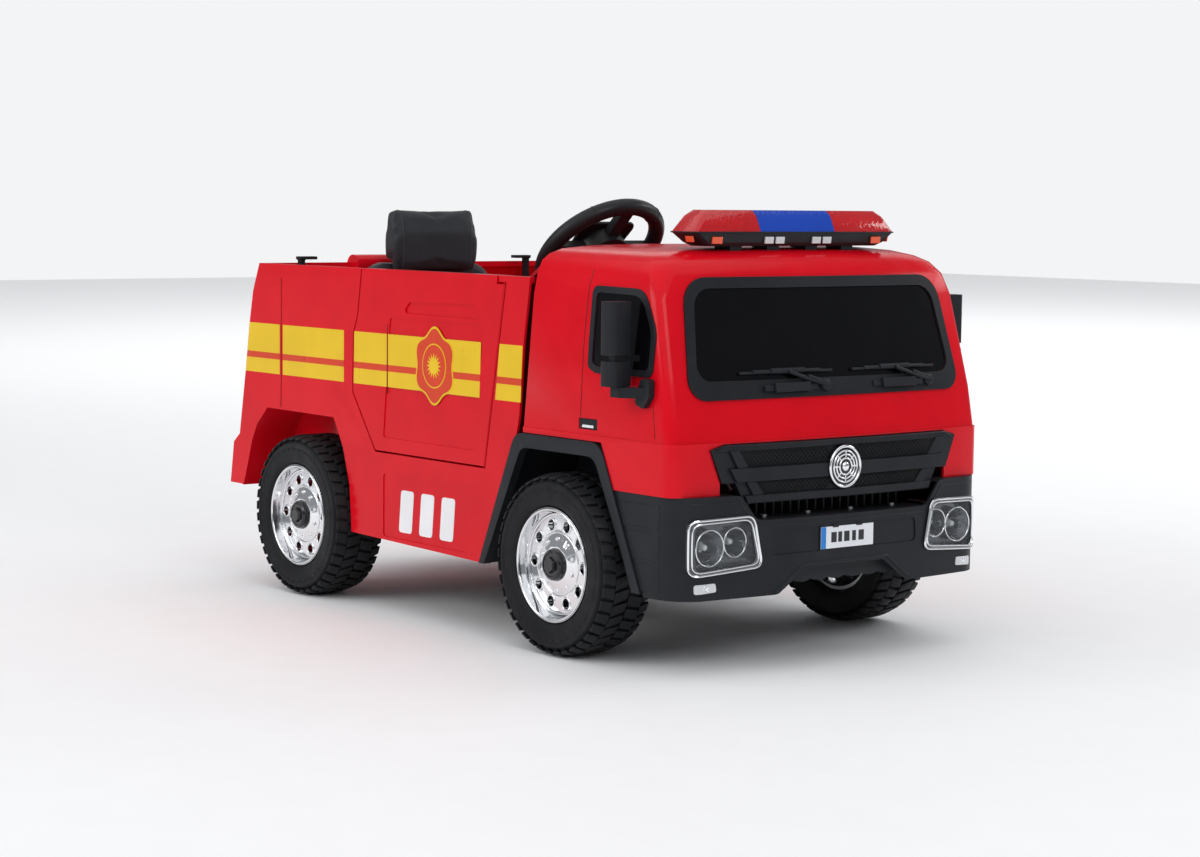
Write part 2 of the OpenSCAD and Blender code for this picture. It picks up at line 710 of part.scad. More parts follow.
module grille() {
    band_top = [[-228, 303], [-204, grille_top_z], [204, grille_top_z], [228, 303], [209, 258], [-209, 258]];
    band_low = [[-190, 262], [190, 262], [171, grille_bottom_z], [-171, grille_bottom_z]];
    color("dimgray")
    difference() {
        intersection() {
            slab_xy(nose_plan(nose_x - 14, side_y, 13, 22, nose_x - 60), grille_bottom_z - 1, grille_top_z + 1);
            union() {
                slab_yz(band_top, nose_x - 46, nose_x);
                slab_yz(band_low, nose_x - 46, nose_x);
            }
        }
        slab_xy(nose_plan(nose_x - 19 - wall, side_y, 13, 18, nose_x - 70), grille_bottom_z - 2, grille_top_z + 2);
        both_sides() {
            slab_yz(rounded([[26, 276], [160, 276], [174, 300], [26, 300]], [2, 6, 4, 2]), nose_x - 18, nose_x);
            slab_yz(rounded([[26, 241], [146, 241], [160, 258], [26, 258]], [2, 6, 4, 2]), nose_x - 18, nose_x);
        }
    }
}

module front_badge() {
    color("silver")
    translate([nose_x - 15, 0, 271]) rotate([0, 90, 0])
        rotate_extrude() polygon([[0, 1.1], [30, 1.1], [30, 4], [26, 7], [22, 4], [16, 4], [12, 7], [0, 8]]);
}

module windscreen_frame() {
    color("dimgray")
    intersection() {
        difference() {
            cab_form(3);
            cab_form(0);
        }
        difference() {
            slab_yz(screen_outline, nose_x - 150, nose_x + 10);
            slab_yz(screen_opening, nose_x - 151, nose_x + 11);
        }
    }
}

module windscreen() {
    color("black")
    intersection() {
        difference() {
            cab_form(0.5);
            cab_form(-3);
        }
        slab_yz(scale_to(screen_opening, 0.998), nose_x - 150, nose_x + 10);
    }
}

module window_frames() {
    color("dimgray")
    intersection() {
        difference() {
            cab_form(2);
            cab_form(0);
        }
        difference() {
            slab_xz(window_outline, -side_y - 5, side_y + 5);
            slab_xz(window_opening, -side_y - 6, side_y + 6);
        }
    }
}

module window_panes() {
    color("black")
    intersection() {
        difference() {
            cab_form(0);
            cab_form(-3);
        }
        slab_xz(scale_to(window_opening, 0.997), -side_y - 5, side_y + 5);
    }
}

module wipers() {
    blade_half = 82;
    blade_z = 400;
    stand_off = 5;
    color("black")
    for (y = [-84, 118]) {
        ends = [for (s = [-1, 1]) [screen_x(y + s * blade_half, blade_z) + stand_off, y + s * blade_half, blade_z]];
        tip = (ends[0] + ends[1]) / 2;
        pivot = [screen_x(y + 66, 383) + 3.5, y + 66, 383];
        translate(pivot) rotate([0, 76, 0]) cylinder(d = 18, h = 9);
        hull() {
            translate(pivot + [7, 0, 1]) sphere(d = 9, $fn = 20);
            translate(tip) sphere(d = 7, $fn = 20);
        }
        hull()
        for (end = ends)
            translate(end) sphere(d = 7, $fn = 16);
    }
}

// ---- light bar --------------------------------------------------------------------------------

// One level of the bar, drawn in by a margin at its ends and at its front and back
module bar_level(z, end_in, face_in) {
    translate([bar_x, 0, z])
        linear_extrude(0.02)
        polygon(rounded([
            [-bar_depth / 2 + face_in, -bar_len / 2 + end_in], [bar_depth / 2 - face_in, -bar_len / 2 + end_in],
            [bar_depth / 2 - face_in, bar_len / 2 - end_in], [-bar_depth / 2 + face_in, bar_len / 2 - end_in]
        ], 8, 4));
}

module lightbar_base() {
    color("black")
    difference() {
        union() {
            hull() {
                bar_level(bar_base_z + 5, 28, 8);
                bar_level(bar_base_z + 10, 18, 3);
                bar_level(bar_split_z - 0.1, 0, 0);
            }
            for (y = [-104, -36, 36, 104])
                block(bar_x - 16, bar_x + 16, y - 11, y + 11, roof_z - 20, bar_base_z + 8);
        }
        cab_form(0.05);
    }
}

module bar_lens_form() {
    hull() {
        bar_level(bar_split_z + 0.1, 0, 0);
        bar_level(bar_top_z - 8, 17, 6);
        bar_level(bar_top_z, 26, 14);
    }
}

module lightbar_blue_lens() {
    slant = 5;
    color("blue")
    intersection() {
        bar_lens_form();
        slab_yz([[-bar_mid / 2, bar_split_z - 1], [bar_mid / 2, bar_split_z - 1],
            [bar_mid / 2 - slant, bar_top_z + 1], [-bar_mid / 2 - slant, bar_top_z + 1]],
            bar_x - bar_depth, bar_x + bar_depth);
    }
}

module lightbar_red_lenses() {
    slant = 5;
    joint = 0.4;
    color("red")
    difference() {
        bar_lens_form();
        slab_yz([[-bar_mid / 2 - joint, bar_split_z - 1], [bar_mid / 2 + joint, bar_split_z - 1],
            [bar_mid / 2 - slant + joint, bar_top_z + 1], [-bar_mid / 2 - slant - joint, bar_top_z + 1]],
            bar_x - bar_depth, bar_x + bar_depth);
    }
}

module lightbar_lamps() {
    color("orange")
    for (y = [-148, -54, -34, 34, 54, 148])
        translate([bar_x + bar_depth / 2 + 0.2, y, bar_split_z - 11]) rotate([0, 6, 0])
            cube([3, 17, 9], center = true);
}

// ---- seat and bed fittings --------------------------------------------------------------------

back_x = tail_x + 132;

module seat_cushion() {
    color("black")
    slab_xy(rounded([
        [back_x + 32, -seat_w / 2], [front_axle_x - 472, -seat_w / 2],
        [front_axle_x - 472, seat_w / 2], [back_x + 32, seat_w / 2]
    ], [12, 40, 40, 12]), platform_z + soft_gap, platform_z + cushion_t);
}

module seat_backrest() {
    top = rim_z + 6;
    low = platform_z + cushion_t + soft_gap;
    color("black")
    slab_yz(rounded([
        [-back_w / 2, low], [back_w / 2, low], [back_w / 2, top], [-back_w / 2, top]
    ], [10, 10, 52, 52], 8), back_x + soft_gap, back_x + 31);
}

module headrest() {
    seat_top = rim_z + 6 + soft_gap;
    lip_z = seat_top - 22;
    face_x = back_x + 52;
    color("black")
    slab_xz([
        [back_x + 31 + soft_gap, lip_z], [face_x, lip_z + 4], [face_x + 2, headrest_z - 50],
        [face_x - 10, headrest_z], [back_x + 18, headrest_z - 2], [back_x + 14, seat_top],
        [back_x + 31 + soft_gap, seat_top]
    ], -headrest_w / 2, headrest_w / 2);
}

module bed_clips() {
    deck_top = rim_z - 28;
    color("black")
    both_sides() {
        block(tail_x + 118, tail_x + 130, 222, 230, deck_top, rim_z + 6);
        block(tail_x + 116, tail_x + 132, 200, 232, rim_z + 6 - eps, rim_z + 11);
    }
}

module tail_lamps() {
    color("darkred")
    both_sides()
    translate([tail_x + 39.2, 0, 290])
        rotate([0, atan2(tail_line[3].x - tail_line[4].x, tail_line[3].y - tail_line[4].y), 0])
        slab_yz(rounded([[205, -24], [262, -24], [262, 24], [205, 24]], 6), -6, 0);
}

module body_screws() {
    color("silver")
    for (y = [-120, -40, 40, 120])
        translate([nose_x - 38, y, bumper_mid_z]) cylinder(d = 9, h = 3);
}

// ---- mirrors ----------------------------------------------------------------------------------

mirror_x = front_axle_x + 152;
mirror_y = side_y + 21;
mirror_pin_d = 6;

module mirror_arms() {
    color("dimgray")
    both_sides()
    difference() {
        union() {
        slab_xz(rounded([
            [front_axle_x + 168, 362], [front_axle_x + 186, 356], [front_axle_x + 198, 372],
            [front_axle_x + 198, 396], [front_axle_x + 180, 396]
        ], 5), side_y - 2, side_y + 8);
        slab_xy([
            [front_axle_x + 172, side_y + 6], [front_axle_x + 192, side_y + 6],
            [mirror_x + 10, mirror_y + 8], [mirror_x - 9, mirror_y + 8], [mirror_x - 9, mirror_y - 4]
        ], 370, 384);
        translate([mirror_x, mirror_y, 383]) cylinder(d = mirror_pin_d, h = 26);
        }
        cab_form(0.05);
    }
}

module mirror_head(side) {
    shell = [
        [mirror_x - 15, side_y + 8], [mirror_x + 10, side_y + 8], [mirror_x + 12, side_y + 40],
        [mirror_x - 2, side_y + 43], [mirror_x - 15, side_y + 43]
    ];
    color("dimgray")
    on_side(side)
    difference() {
        union() {
            slab_xy(rounded(shell, [3, 3, 7, 5, 5]), 384.5, 418);
            slab_xy(rounded(shell, [3, 3, 7, 5, 5]), 426, 497);
            block(mirror_x - 6, mirror_x + 6, side_y + 12, side_y + 34, 417, 427);
        }
        translate([mirror_x, mirror_y, 384]) cylinder(d = mirror_pin_d + 2 * run_fit, h = 26);
        block(mirror_x - 16, mirror_x - 13, side_y + 11, side_y + 40, 431, 492);
        block(mirror_x - 16, mirror_x - 13, side_y + 11, side_y + 40, 389, 413);
    }
}

module right_mirror() mirror_head(right);
module left_mirror() mirror_head(left);

// ---- steering ---------------------------------------------------------------------------------

module steering_wheel() {
    hub_d = 78;
    color("black")
    difference() {
        union() {
            along_column(0) {
                rotate_extrude($fn = 96) translate([steer_d / 2, 0]) circle(d = steer_tube_d, $fn = 32);
                translate([0, 0, -10]) cylinder(d = hub_d, h = 26);
                for (a = [0, 180])
                    rotate([0, 0, a + 90]) translate([20, -14, -5]) cube([steer_d / 2 - 22, 28, 12]);
                translate([-steer_d / 2 + 4, -11, -5]) cube([steer_d / 2 - 24, 22, 12]);
            }
        }
        along_column(-11) cylinder(d = 44, h = 8);
        along_column(2) cylinder(d = axle_d, h = 20);
    }
}

module horn_button() {
    color("dimgray")
    along_column(-16) cylinder(d = 44 - 2 * pass_gap, h = 10);
}

module steering_shaft() {
    color("silver")
    union() {
        along_column(2.1) cylinder(d = axle_d, h = shaft_len - 2.1);
        along_column(shaft_len - 9) slab_xy([
            [-8, -8], [crank_r + 6, -8], [crank_r + 6, 8], [-8, 8]
        ], 0, 6);
        along_column(shaft_len - 4) translate([crank_r, 0, 0]) cylinder(d = link_pin_d, h = 22);
    }
}

module tie_rod() {
    arm_travel = 3;
    plate_gap = 6;
    color("silver")
    difference() {
        union() {
            block(link_x - 7, link_x + 7, -kingpin_y - 9, kingpin_y + 9, link_z - 4, link_z + 4);
            slab_xz([
                [link_x, link_z + 4], [crank_pin_x - 26, link_z + 4], [crank_pin_x - 4, link_z - 11],
                [crank_pin_x + 2, link_z - 18], [crank_pin_x - 6, link_z - 22],
                [crank_pin_x - 28, link_z - 4], [link_x, link_z - 4]
            ], -12, 12);
            along_column(shaft_len + plate_gap) slab_xy([
                [crank_r - 15, -15], [crank_r + 11, -15], [crank_r + 11, 15], [crank_r - 15, 15]
            ], 0, 9);
        }
        // slot for the crank pin, long enough for its arc
        along_column(shaft_len) slab_xy([
            [crank_r - 9.8, -link_pin_d / 2 - link_slack], [crank_r + 4, -link_pin_d / 2 - link_slack],
            [crank_r + 4, link_pin_d / 2 + link_slack], [crank_r - 9.8, link_pin_d / 2 + link_slack]
        ], 0, 30);
        both_sides()
            block(link_x - link_pin_d / 2 - link_slack, link_x + link_pin_d / 2 + arm_travel + link_slack,
                kingpin_y - link_pin_d / 2 - link_slack, kingpin_y + link_pin_d / 2 + link_slack,
                link_z - 5, link_z + 5);
    }
}

module knuckle(side) {
    barrel_h = 28;
    color("dimgray")
    on_side(side)
    difference() {
        union() {
            translate([kingpin_x, kingpin_y, axle_z - barrel_h / 2]) cylinder(d = 22, h = barrel_h);
            translate([kingpin_x, kingpin_y + 7, axle_z]) rotate([-90, 0, 0])
                cylinder(d = 20, h = track_half - tyre_w / 2 - kingpin_y - 8);
            translate([kingpin_x, kingpin_y + 8, axle_z]) rotate([-90, 0, 0])
                cylinder(d = axle_d, h = track_half + 36 - kingpin_y - 8);
            block(link_x - 5, kingpin_x - 6, kingpin_y - 6, kingpin_y + 6, axle_z + 4, axle_z + 13);
            translate([link_x, kingpin_y, axle_z + 12]) cylinder(d = link_pin_d, h = link_z + 4 - axle_z - 12);
        }
        translate([kingpin_x, kingpin_y, axle_z - barrel_h]) cylinder(d = kingpin_d + 2 * run_fit, h = 2 * barrel_h);
    }
}

module right_knuckle() knuckle(right);
module left_knuckle() knuckle(left);

module accelerator_pedal() {
    color("dimgray")
    translate(pedal_hinge) union() {
        rotate([0, -50, 0]) translate([0, -26, -4]) cube([92, 52, 8]);
        rotate([90, 0, 0]) cylinder(d = 14, h = 60, center = true);
        rotate([90, 0, 0]) cylinder(d = pedal_pin_d, h = 74, center = true);
    }
}

// ---- doors ------------------------------------------------------------------------------------

module door(side) {
    g = door_gap;
    outer = [
        door_rear[0] + [g, 0], door_rear[1] + [g, 0], door_rear[2] + [g, 0], door_rear[3] + [g, 1],
        door_rear[4] + [g / 2, g], door_front[0] + [-g, g], door_front[1] + [-g - 2.2, -12.5],
        door_front[1] + [-24, -12.5], door_front[1] + [-21.8, 0]
    ];
    pocket = [
        door_rear[0] + [g + 5, -5], door_rear[1] + [g + 5, 0], door_rear[2] + [g + 5, 0],
        door_rear[3] + [g + 5, 3], door_rear[4] + [g + 5, g + 5], door_front[0] + [-g - 5, g + 5],
        door_front[1] + [-g - 8, -18], door_front[1] + [-30, -18], door_front[1] + [-29, -5]
    ];
    panel = rounded([
        [front_axle_x - 448, 268], [front_axle_x - 206, 268], [front_axle_x - 188, 450],
        [front_axle_x - 430, 450]
    ], 5);
    handle = rounded([
        [front_axle_x - 397, 458], [front_axle_x - 193, 457], [front_axle_x - 211, 478],
        [front_axle_x - 378, 475]
    ], 5);
    color("red")
    on_side(side)
    difference() {
        union() {
            difference() {
                slab_xz(outer, side_y - door_depth, side_y);
                slab_xz(pocket, side_y - door_depth - 1, side_y - wall);
            }
            // stiffening ribs
            for (z = [300, 370, 440])
                block(door_rear[3].x + 30, door_front[0].x - 12, side_y - door_depth + 2, side_y - wall + eps,
                    z, z + 3);
            // hinge barrels that carry the pins
            intersection() {
                at_door_hinge(sill_z + 4) cylinder(d = 13, h = 270);
                union() {
                    slab_xz([door_rear[4] + [0, g], door_front[0] + [0, g], door_front[0] + [0, 40],
                        door_rear[4] + [0, 40]], side_y - door_depth, side_y - 1);
                    slab_xz([[door_front[0].x, 480], [door_front[1].x - 5, 480],
                        [door_front[1].x - 5, rim_z - 12.5], [door_front[0].x, rim_z - 12.5]],
                        side_y - door_depth, side_y - 1);
                }
            }
            at_door_hinge(sill_z - 12) cylinder(d = door_pin_d, h = 30);
            at_door_hinge(rim_z - 30) cylinder(d = door_pin_d, h = 28);
        }
        slab_xz(panel, side_y - 1.5, side_y + 1);
        slab_xz(handle, side_y - 2.5, side_y + 1);
        // chamfer that lets the front edge turn past the body's
        at_door_hinge(sill_z - 20) translate([hinge_back - g, side_y - hinge_y, 0]) rotate([0, 0, 45])
            translate([-1.4, -4, 0]) cube([8, 8, 320]);
    }
}

module right_door() door(right);
module left_door() door(left);

// ---- wheels -----------------------------------------------------------------------------------

// Puts a wheel that is drawn round Z, outer face up, on an axle
module wheel_at(x, side) {
    translate([x, side * track_half, axle_z]) rotate([side == left ? -90 : 90, 0, 0]) children();
}

module tyre() {
    w = tyre_w / 2;
    t = 8;
    profile = [
        [rim_r, -w + 14], [rim_r + 4, -w + 4], [rim_r + 14, -w], [tyre_r - 12, -w], [tyre_r - 2, -w + 10],
        [tyre_r, -w + 22], [tyre_r, w - 22], [tyre_r - 2, w - 10], [tyre_r - 12, w], [rim_r + 12, w],
        [rim_r + 3, w - 4], [rim_r, w - 9],
        [rim_r, w - 9 - t], [tyre_r - 12, w - t], [tyre_r - t - 1, w - 22], [tyre_r - t - 1, -w + 22],
        [tyre_r - 12, -w + t], [rim_r, -w + 14 + t]
    ];
    color("black")
    rotate_extrude($fn = 96) polygon(profile);
}

module rim() {
    w = tyre_w / 2;
    dish = w - 14;
    profile = [
        [axle_d / 2 + run_fit, -w + 1], [20, -w + 1], [22, dish - 8], [42, dish - 10], [rim_r - 9, dish - 12],
        [rim_r - 5, -w + 14], [rim_r - 0.1, -w + 14], [rim_r - 0.1, w - 4.5], [rim_r - 5, w - 4],
        [rim_r - 9, dish - 6], [50, dish - 4], [42, dish - 4], [28, dish + 2], [23, dish + 2], [23, dish - 3],
        [axle_d / 2 + run_fit, dish - 3]
    ];
    color("silver")
    difference() {
        rotate_extrude($fn = 96) polygon(profile);
        for (i = [0:rim_holes - 1])
            rotate([0, 0, i * 360 / rim_holes]) translate([56, 0, -w]) cylinder(d = 15, h = tyre_w);
    }
}

module hub_cap() {
    dish = tyre_w / 2 - 14;
    color("black")
    rotate_extrude() polygon([
        [0, 37.5], [9, 37.5], [9, dish - 2.7], [22.8, dish - 2.7], [22.8, dish + 4], [19, dish + 13],
        [8, dish + 15], [0, dish + 15]
    ]);
}

// ---- what is drawn ----------------------------------------------------------------------------

floor_pan();
rear_body();
cab_body();
dash_panel();
front_bumper();
grille();
front_badge();
windscreen_frame();
windscreen();
window_frames();
window_panes();
wipers();
right_headlamp();
left_headlamp();
headlamp_lenses();
fog_lamps();
number_plate();
skid_plate();
right_arch_trim();
left_arch_trim();
lightbar_base();
lightbar_red_lenses();
lightbar_blue_lens();
lightbar_lamps();
seat_cushion();
seat_backrest();
headrest();
tail_lamps();
front_axle_beam();
rear_axle();
gearboxes();
battery();
controller();
body_screws();
bed_clips();
mirror_arms();
right_mirror();
left_mirror();
steering_wheel();
steering_shaft();
horn_button();
right_knuckle();
left_knuckle();
tie_rod();
accelerator_pedal();
power_button();
right_door();
left_door();
wheel_at(front_axle_x, right) tyre();  // front_right_tyre
wheel_at(front_axle_x, right) rim();  // front_right_rim
wheel_at(front_axle_x, right) hub_cap();  // front_right_hub_cap
wheel_at(front_axle_x, left) tyre();  // front_left_tyre
wheel_at(front_axle_x, left) rim();  // front_left_rim
wheel_at(front_axle_x, left) hub_cap();  // front_left_hub_cap
wheel_at(rear_axle_x, right) tyre();  // rear_right_tyre
wheel_at(rear_axle_x, right) rim();  // rear_right_rim
wheel_at(rear_axle_x, right) hub_cap();  // rear_right_hub_cap
wheel_at(rear_axle_x, left) tyre();  // rear_left_tyre
wheel_at(rear_axle_x, left) rim();  // rear_left_rim
wheel_at(rear_axle_x, left) hub_cap();  // rear_left_hub_cap
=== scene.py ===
"""Finished looks of a child's battery ride-on fire truck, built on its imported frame.

Metres, X forward, Y to the rider's left, Z up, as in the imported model.
"""
import logging
import math
from dataclasses import dataclass, field
from enum import Enum

import bmesh
import bpy
from mathutils import Matrix, Vector
from mathutils.bvhtree import BVHTree


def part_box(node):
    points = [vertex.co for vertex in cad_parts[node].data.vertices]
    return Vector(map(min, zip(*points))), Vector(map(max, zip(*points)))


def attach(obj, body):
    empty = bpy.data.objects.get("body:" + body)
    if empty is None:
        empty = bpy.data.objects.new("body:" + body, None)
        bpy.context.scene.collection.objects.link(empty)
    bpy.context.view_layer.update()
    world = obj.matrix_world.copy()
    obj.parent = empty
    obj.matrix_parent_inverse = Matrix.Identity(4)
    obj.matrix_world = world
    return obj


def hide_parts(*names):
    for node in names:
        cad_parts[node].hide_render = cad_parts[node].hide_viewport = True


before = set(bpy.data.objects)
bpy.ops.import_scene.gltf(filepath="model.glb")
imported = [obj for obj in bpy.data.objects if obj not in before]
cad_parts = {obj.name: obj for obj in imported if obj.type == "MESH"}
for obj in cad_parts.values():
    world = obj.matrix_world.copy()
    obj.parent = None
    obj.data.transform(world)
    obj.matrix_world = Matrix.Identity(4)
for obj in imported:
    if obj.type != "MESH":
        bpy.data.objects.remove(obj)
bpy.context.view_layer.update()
LOG = logging.getLogger("fire_truck")

SIDE_Y = 0.287
NOSE_X = 0.589
FRONT_AXLE_X = 0.319
REAR_AXLE_X = -0.350
AXLE_Z = 0.1275
TRACK_HALF = 0.264

CLEAR_X = 0.75          # rays that come from the front start here
CLEAR_Y = 0.40          # and those that come from a side start here
REARWARD = (-1, 0, 0)
DOWNWARD = (0, 0, -1)
TO_FRONT = Matrix.Rotation(math.radians(90), 4, "Y")


class Side(Enum):
    """A side of the truck, as the sign of its Y."""

    RIGHT = -1
    LEFT = 1

    @property
    def word(self) -> str:
        """The side's word in node and body names."""
        return self.name.lower()


class Plane(Enum):
    """The plane an outline is drawn in, before it is extruded along the third axis."""

    XY = (0, 1, 2)
    XZ = (0, 2, 1)
    YZ = (1, 2, 0)


# ---- finishes ---------------------------------------------------------------------------------


@dataclass(frozen=True)
class Finish:
    """One surface finish: its colour and gloss, and the fine texture it shows."""

    name: str
    color: tuple[float, float, float]
    roughness: float = 0.4
    metallic: float = 0.0
    coat: float = 0.0
    transmission: float = 0.0
    ior: float = 1.48
    grain: float = 900.0
    bump: float = 0.0
    bump_depth: float = 0.0002
    tone: float = 0.04
    gloss_spread: float = 0.05
    cells: bool = False
    # strength of the painted highlight that lightens convex edges
    edge_highlight: float = 0.0
    sheen: float = 0.0
    alpha: float = 1.0
    specular: float = 0.3

    def material(self) -> bpy.types.Material:
        """The finish as a Blender material, made once and shared.

        Returns:
            The node material with this finish's colour, gloss and grain.
        """
        known = bpy.data.materials.get(f"{self.name}_finish")
        if known:
            return known
        made = bpy.data.materials.new(f"{self.name}_finish")
        made.use_nodes = True
        tree = made.node_tree
        shader = tree.nodes["Principled BSDF"]
        shader.inputs["Metallic"].default_value = self.metallic
        shader.inputs["Coat Weight"].default_value = self.coat
        shader.inputs["Coat Roughness"].default_value = 0.03
        shader.inputs["Transmission Weight"].default_value = self.transmission
        shader.inputs["IOR"].default_value = self.ior
        shader.inputs["Sheen Weight"].default_value = self.sheen
        shader.inputs["Alpha"].default_value = self.alpha
        shader.inputs["Specular IOR Level"].default_value = self.specular
        place = tree.nodes.new("ShaderNodeTexCoord")
        self._tone(tree, shader, place)
        self._gloss(tree, shader, place)
        if self.bump > 0:
            self._grain(tree, shader, place)
        return made

    def _noise(self, tree: bpy.types.NodeTree, place: bpy.types.Node, scale: float, detail: float) -> bpy.types.Node:
        """A noise pattern on the piece's own coordinates.

        Args:
            tree: The material's nodes.
            place: Its texture coordinates.
            scale: Features in a metre.
            detail: Octaves of finer pattern.

        Returns:
            The noise node.
        """
        noise = tree.nodes.new("ShaderNodeTexNoise")
        noise.inputs["Scale"].default_value = scale
        noise.inputs["Detail"].default_value = detail
        tree.links.new(place.outputs["Object"], noise.inputs["Vector"])
        return noise

    def _tone(self, tree: bpy.types.NodeTree, shader: bpy.types.Node, place: bpy.types.Node) -> None:
        """Varies the colour a little across the piece, and paints a highlight on its convex edges by lightening them.

        Args:
            tree: The material's nodes.
            shader: Its principled shader.
            place: Its texture coordinates.
        """
        noise = self._noise(tree, place, 14.0, 3.0)
        ramp = tree.nodes.new("ShaderNodeValToRGB")
        low = [c * (1 - self.tone) for c in self.color]
        high = [min(1.0, c * (1 + self.tone) + self.tone * 0.01) for c in self.color]
        ramp.color_ramp.elements[0].position = 0.35
        ramp.color_ramp.elements[1].position = 0.65
        ramp.color_ramp.elements[0].color = (*low, 1)
        ramp.color_ramp.elements[1].color = (*high, 1)
        tree.links.new(noise.outputs["Fac"], ramp.inputs["Fac"])
        source = ramp.outputs["Color"]
        # Painted highlight: convex edges, found by pointiness, are lightened to a brighter copy of the colour.
        if self.edge_highlight > 0:
            shape = tree.nodes.new("ShaderNodeNewGeometry")
            edge_light = tree.nodes.new("ShaderNodeMapRange")
            edge_light.inputs["From Min"].default_value = 0.53
            edge_light.inputs["From Max"].default_value = 0.62
            edge_light.inputs["To Max"].default_value = self.edge_highlight
            mix = tree.nodes.new("ShaderNodeMix")
            mix.data_type = "RGBA"
            mix.inputs["B"].default_value = (*[min(1.0, c * 1.6 + 0.02) for c in self.color], 1)
            tree.links.new(shape.outputs["Pointiness"], edge_light.inputs["Value"])
            tree.links.new(edge_light.outputs["Result"], mix.inputs["Factor"])
            tree.links.new(source, mix.inputs["A"])
            source = mix.outputs["Result"]
        tree.links.new(source, shader.inputs["Base Color"])

    def _gloss(self, tree: bpy.types.NodeTree, shader: bpy.types.Node, place: bpy.types.Node) -> None:
        """Breaks up the gloss with faint handling marks.

        Args:
            tree: The material's nodes.
            shader: Its principled shader.
            place: Its texture coordinates.
        """
        noise = self._noise(tree, place, 32.0, 5.0)
        spread = tree.nodes.new("ShaderNodeMapRange")
        spread.inputs["From Min"].default_value = 0.3
        spread.inputs["From Max"].default_value = 0.7
        spread.inputs["To Min"].default_value = max(0.02, self.roughness - self.gloss_spread)
        spread.inputs["To Max"].default_value = min(1.0, self.roughness + self.gloss_spread)
        tree.links.new(noise.outputs["Fac"], spread.inputs["Value"])
        tree.links.new(spread.outputs["Result"], shader.inputs["Roughness"])

    def _grain(self, tree: bpy.types.NodeTree, shader: bpy.types.Node, place: bpy.types.Node) -> None:
        """Adds the moulded or leather grain as a bump.

        Args:
            tree: The material's nodes.
            shader: Its principled shader.
            place: Its texture coordinates.
        """
        if self.cells:
            pattern = tree.nodes.new("ShaderNodeTexVoronoi")
            pattern.inputs["Scale"].default_value = self.grain
            tree.links.new(place.outputs["Object"], pattern.inputs["Vector"])
            height = pattern.outputs["Distance"]
        else:
            height = self._noise(tree, place, self.grain, 4.0).outputs["Fac"]
        bump = tree.nodes.new("ShaderNodeBump")
        bump.inputs["Strength"].default_value = self.bump
        bump.inputs["Distance"].default_value = self.bump_depth
        tree.links.new(height, bump.inputs["Height"])
        tree.links.new(bump.outputs["Normal"], shader.inputs["Normal"])


# The red shell, black trim and tyres get a painted highlight on their convex edges.
RED_SHELL = Finish("red_shell", (0.66, 0.003, 0.012), 0.20, coat=0.07, specular=0.13, grain=55, bump=0.04,
                   bump_depth=0.0006, edge_highlight=0.12)
# A darker copy of the shell red, painted as the shade inside the panel grooves and gaps.
RED_GROOVE_SHADE = Finish("red_groove_shade", (0.22, 0.002, 0.004), 0.45, grain=700, bump=0.1)
DASH_RED = Finish("dash_red", (0.44, 0.004, 0.012), 0.3, coat=0.1, specular=0.2, grain=500, bump=0.06)
UNDER_BLACK = Finish("under_black", (0.022, 0.022, 0.024), 0.62, grain=800, bump=0.35, tone=0.15)
TRIM_BLACK = Finish("trim_black", (0.011, 0.0125, 0.016), 0.42, specular=0.22, grain=1500, bump=0.28,
                    tone=0.12, edge_highlight=0.25)
# Near-black painted as the shade deep inside the grille openings.
OPENING_SHADE_BLACK = Finish("opening_shade_black", (0.004, 0.004, 0.0045), 0.7, grain=900, bump=0.2)
GLOSS_BLACK = Finish("gloss_black", (0.010, 0.010, 0.012), 0.16, coat=0.5, grain=300, bump=0.03)
CHROME = Finish("chrome_plate", (0.88, 0.89, 0.91), 0.07, metallic=1.0, grain=220, bump=0.05, tone=0.02,
                gloss_spread=0.03)
LAMP_BOWL = Finish("lamp_bowl", (0.34, 0.35, 0.37), 0.14, metallic=1.0, grain=220, bump=0.05, tone=0.05,
                   gloss_spread=0.04)
LAMP_SILVER = Finish("lamp_silver", (0.11, 0.115, 0.125), 0.24, metallic=1.0, grain=260, bump=0.08, tone=0.03)
RIM_PLATE = Finish("rim_plate", (0.84, 0.85, 0.87), 0.11, metallic=1.0, grain=160, bump=0.06, tone=0.03,
                   gloss_spread=0.04)
TYRE_BLACK = Finish("tyre_black", (0.008, 0.0085, 0.010), 0.55, specular=0.2, grain=1100, bump=0.4,
                    tone=0.2, gloss_spread=0.1, edge_highlight=0.3)
SCREEN_BLACK = Finish("screen_black", (0.003, 0.003, 0.004), 0.10, coat=0.05, specular=0.15, grain=40, bump=0.02)
CLEAR_LENS = Finish("clear_lens", (0.30, 0.32, 0.34), 0.05, specular=0.5, grain=260, bump=0.15, tone=0.01,
                    gloss_spread=0.02, alpha=0.09)
RED_LENS = Finish("red_lens", (0.72, 0.006, 0.012), 0.08, transmission=0.35, coat=0.6, grain=170,
                  bump=0.35, bump_depth=0.001, cells=True)
BLUE_LENS = Finish("blue_lens", (0.004, 0.075, 0.62), 0.08, transmission=0.3, coat=0.6, grain=170,
                   bump=0.3, bump_depth=0.001, cells=True)
AMBER_LAMP = Finish("amber_lamp", (0.80, 0.10, 0.03), 0.2, coat=0.5, grain=900, bump=0.5, cells=True)
WHITE_LAMP = Finish("white_lamp", (0.62, 0.64, 0.66), 0.2, coat=0.5, grain=900, bump=0.5, cells=True)
PLATE_WHITE = Finish("plate_white", (0.78, 0.80, 0.84), 0.3, coat=0.3, grain=400, bump=0.03)
PLATE_BLUE = Finish("plate_blue", (0.01, 0.20, 0.62), 0.3, coat=0.3, grain=400, bump=0.03)
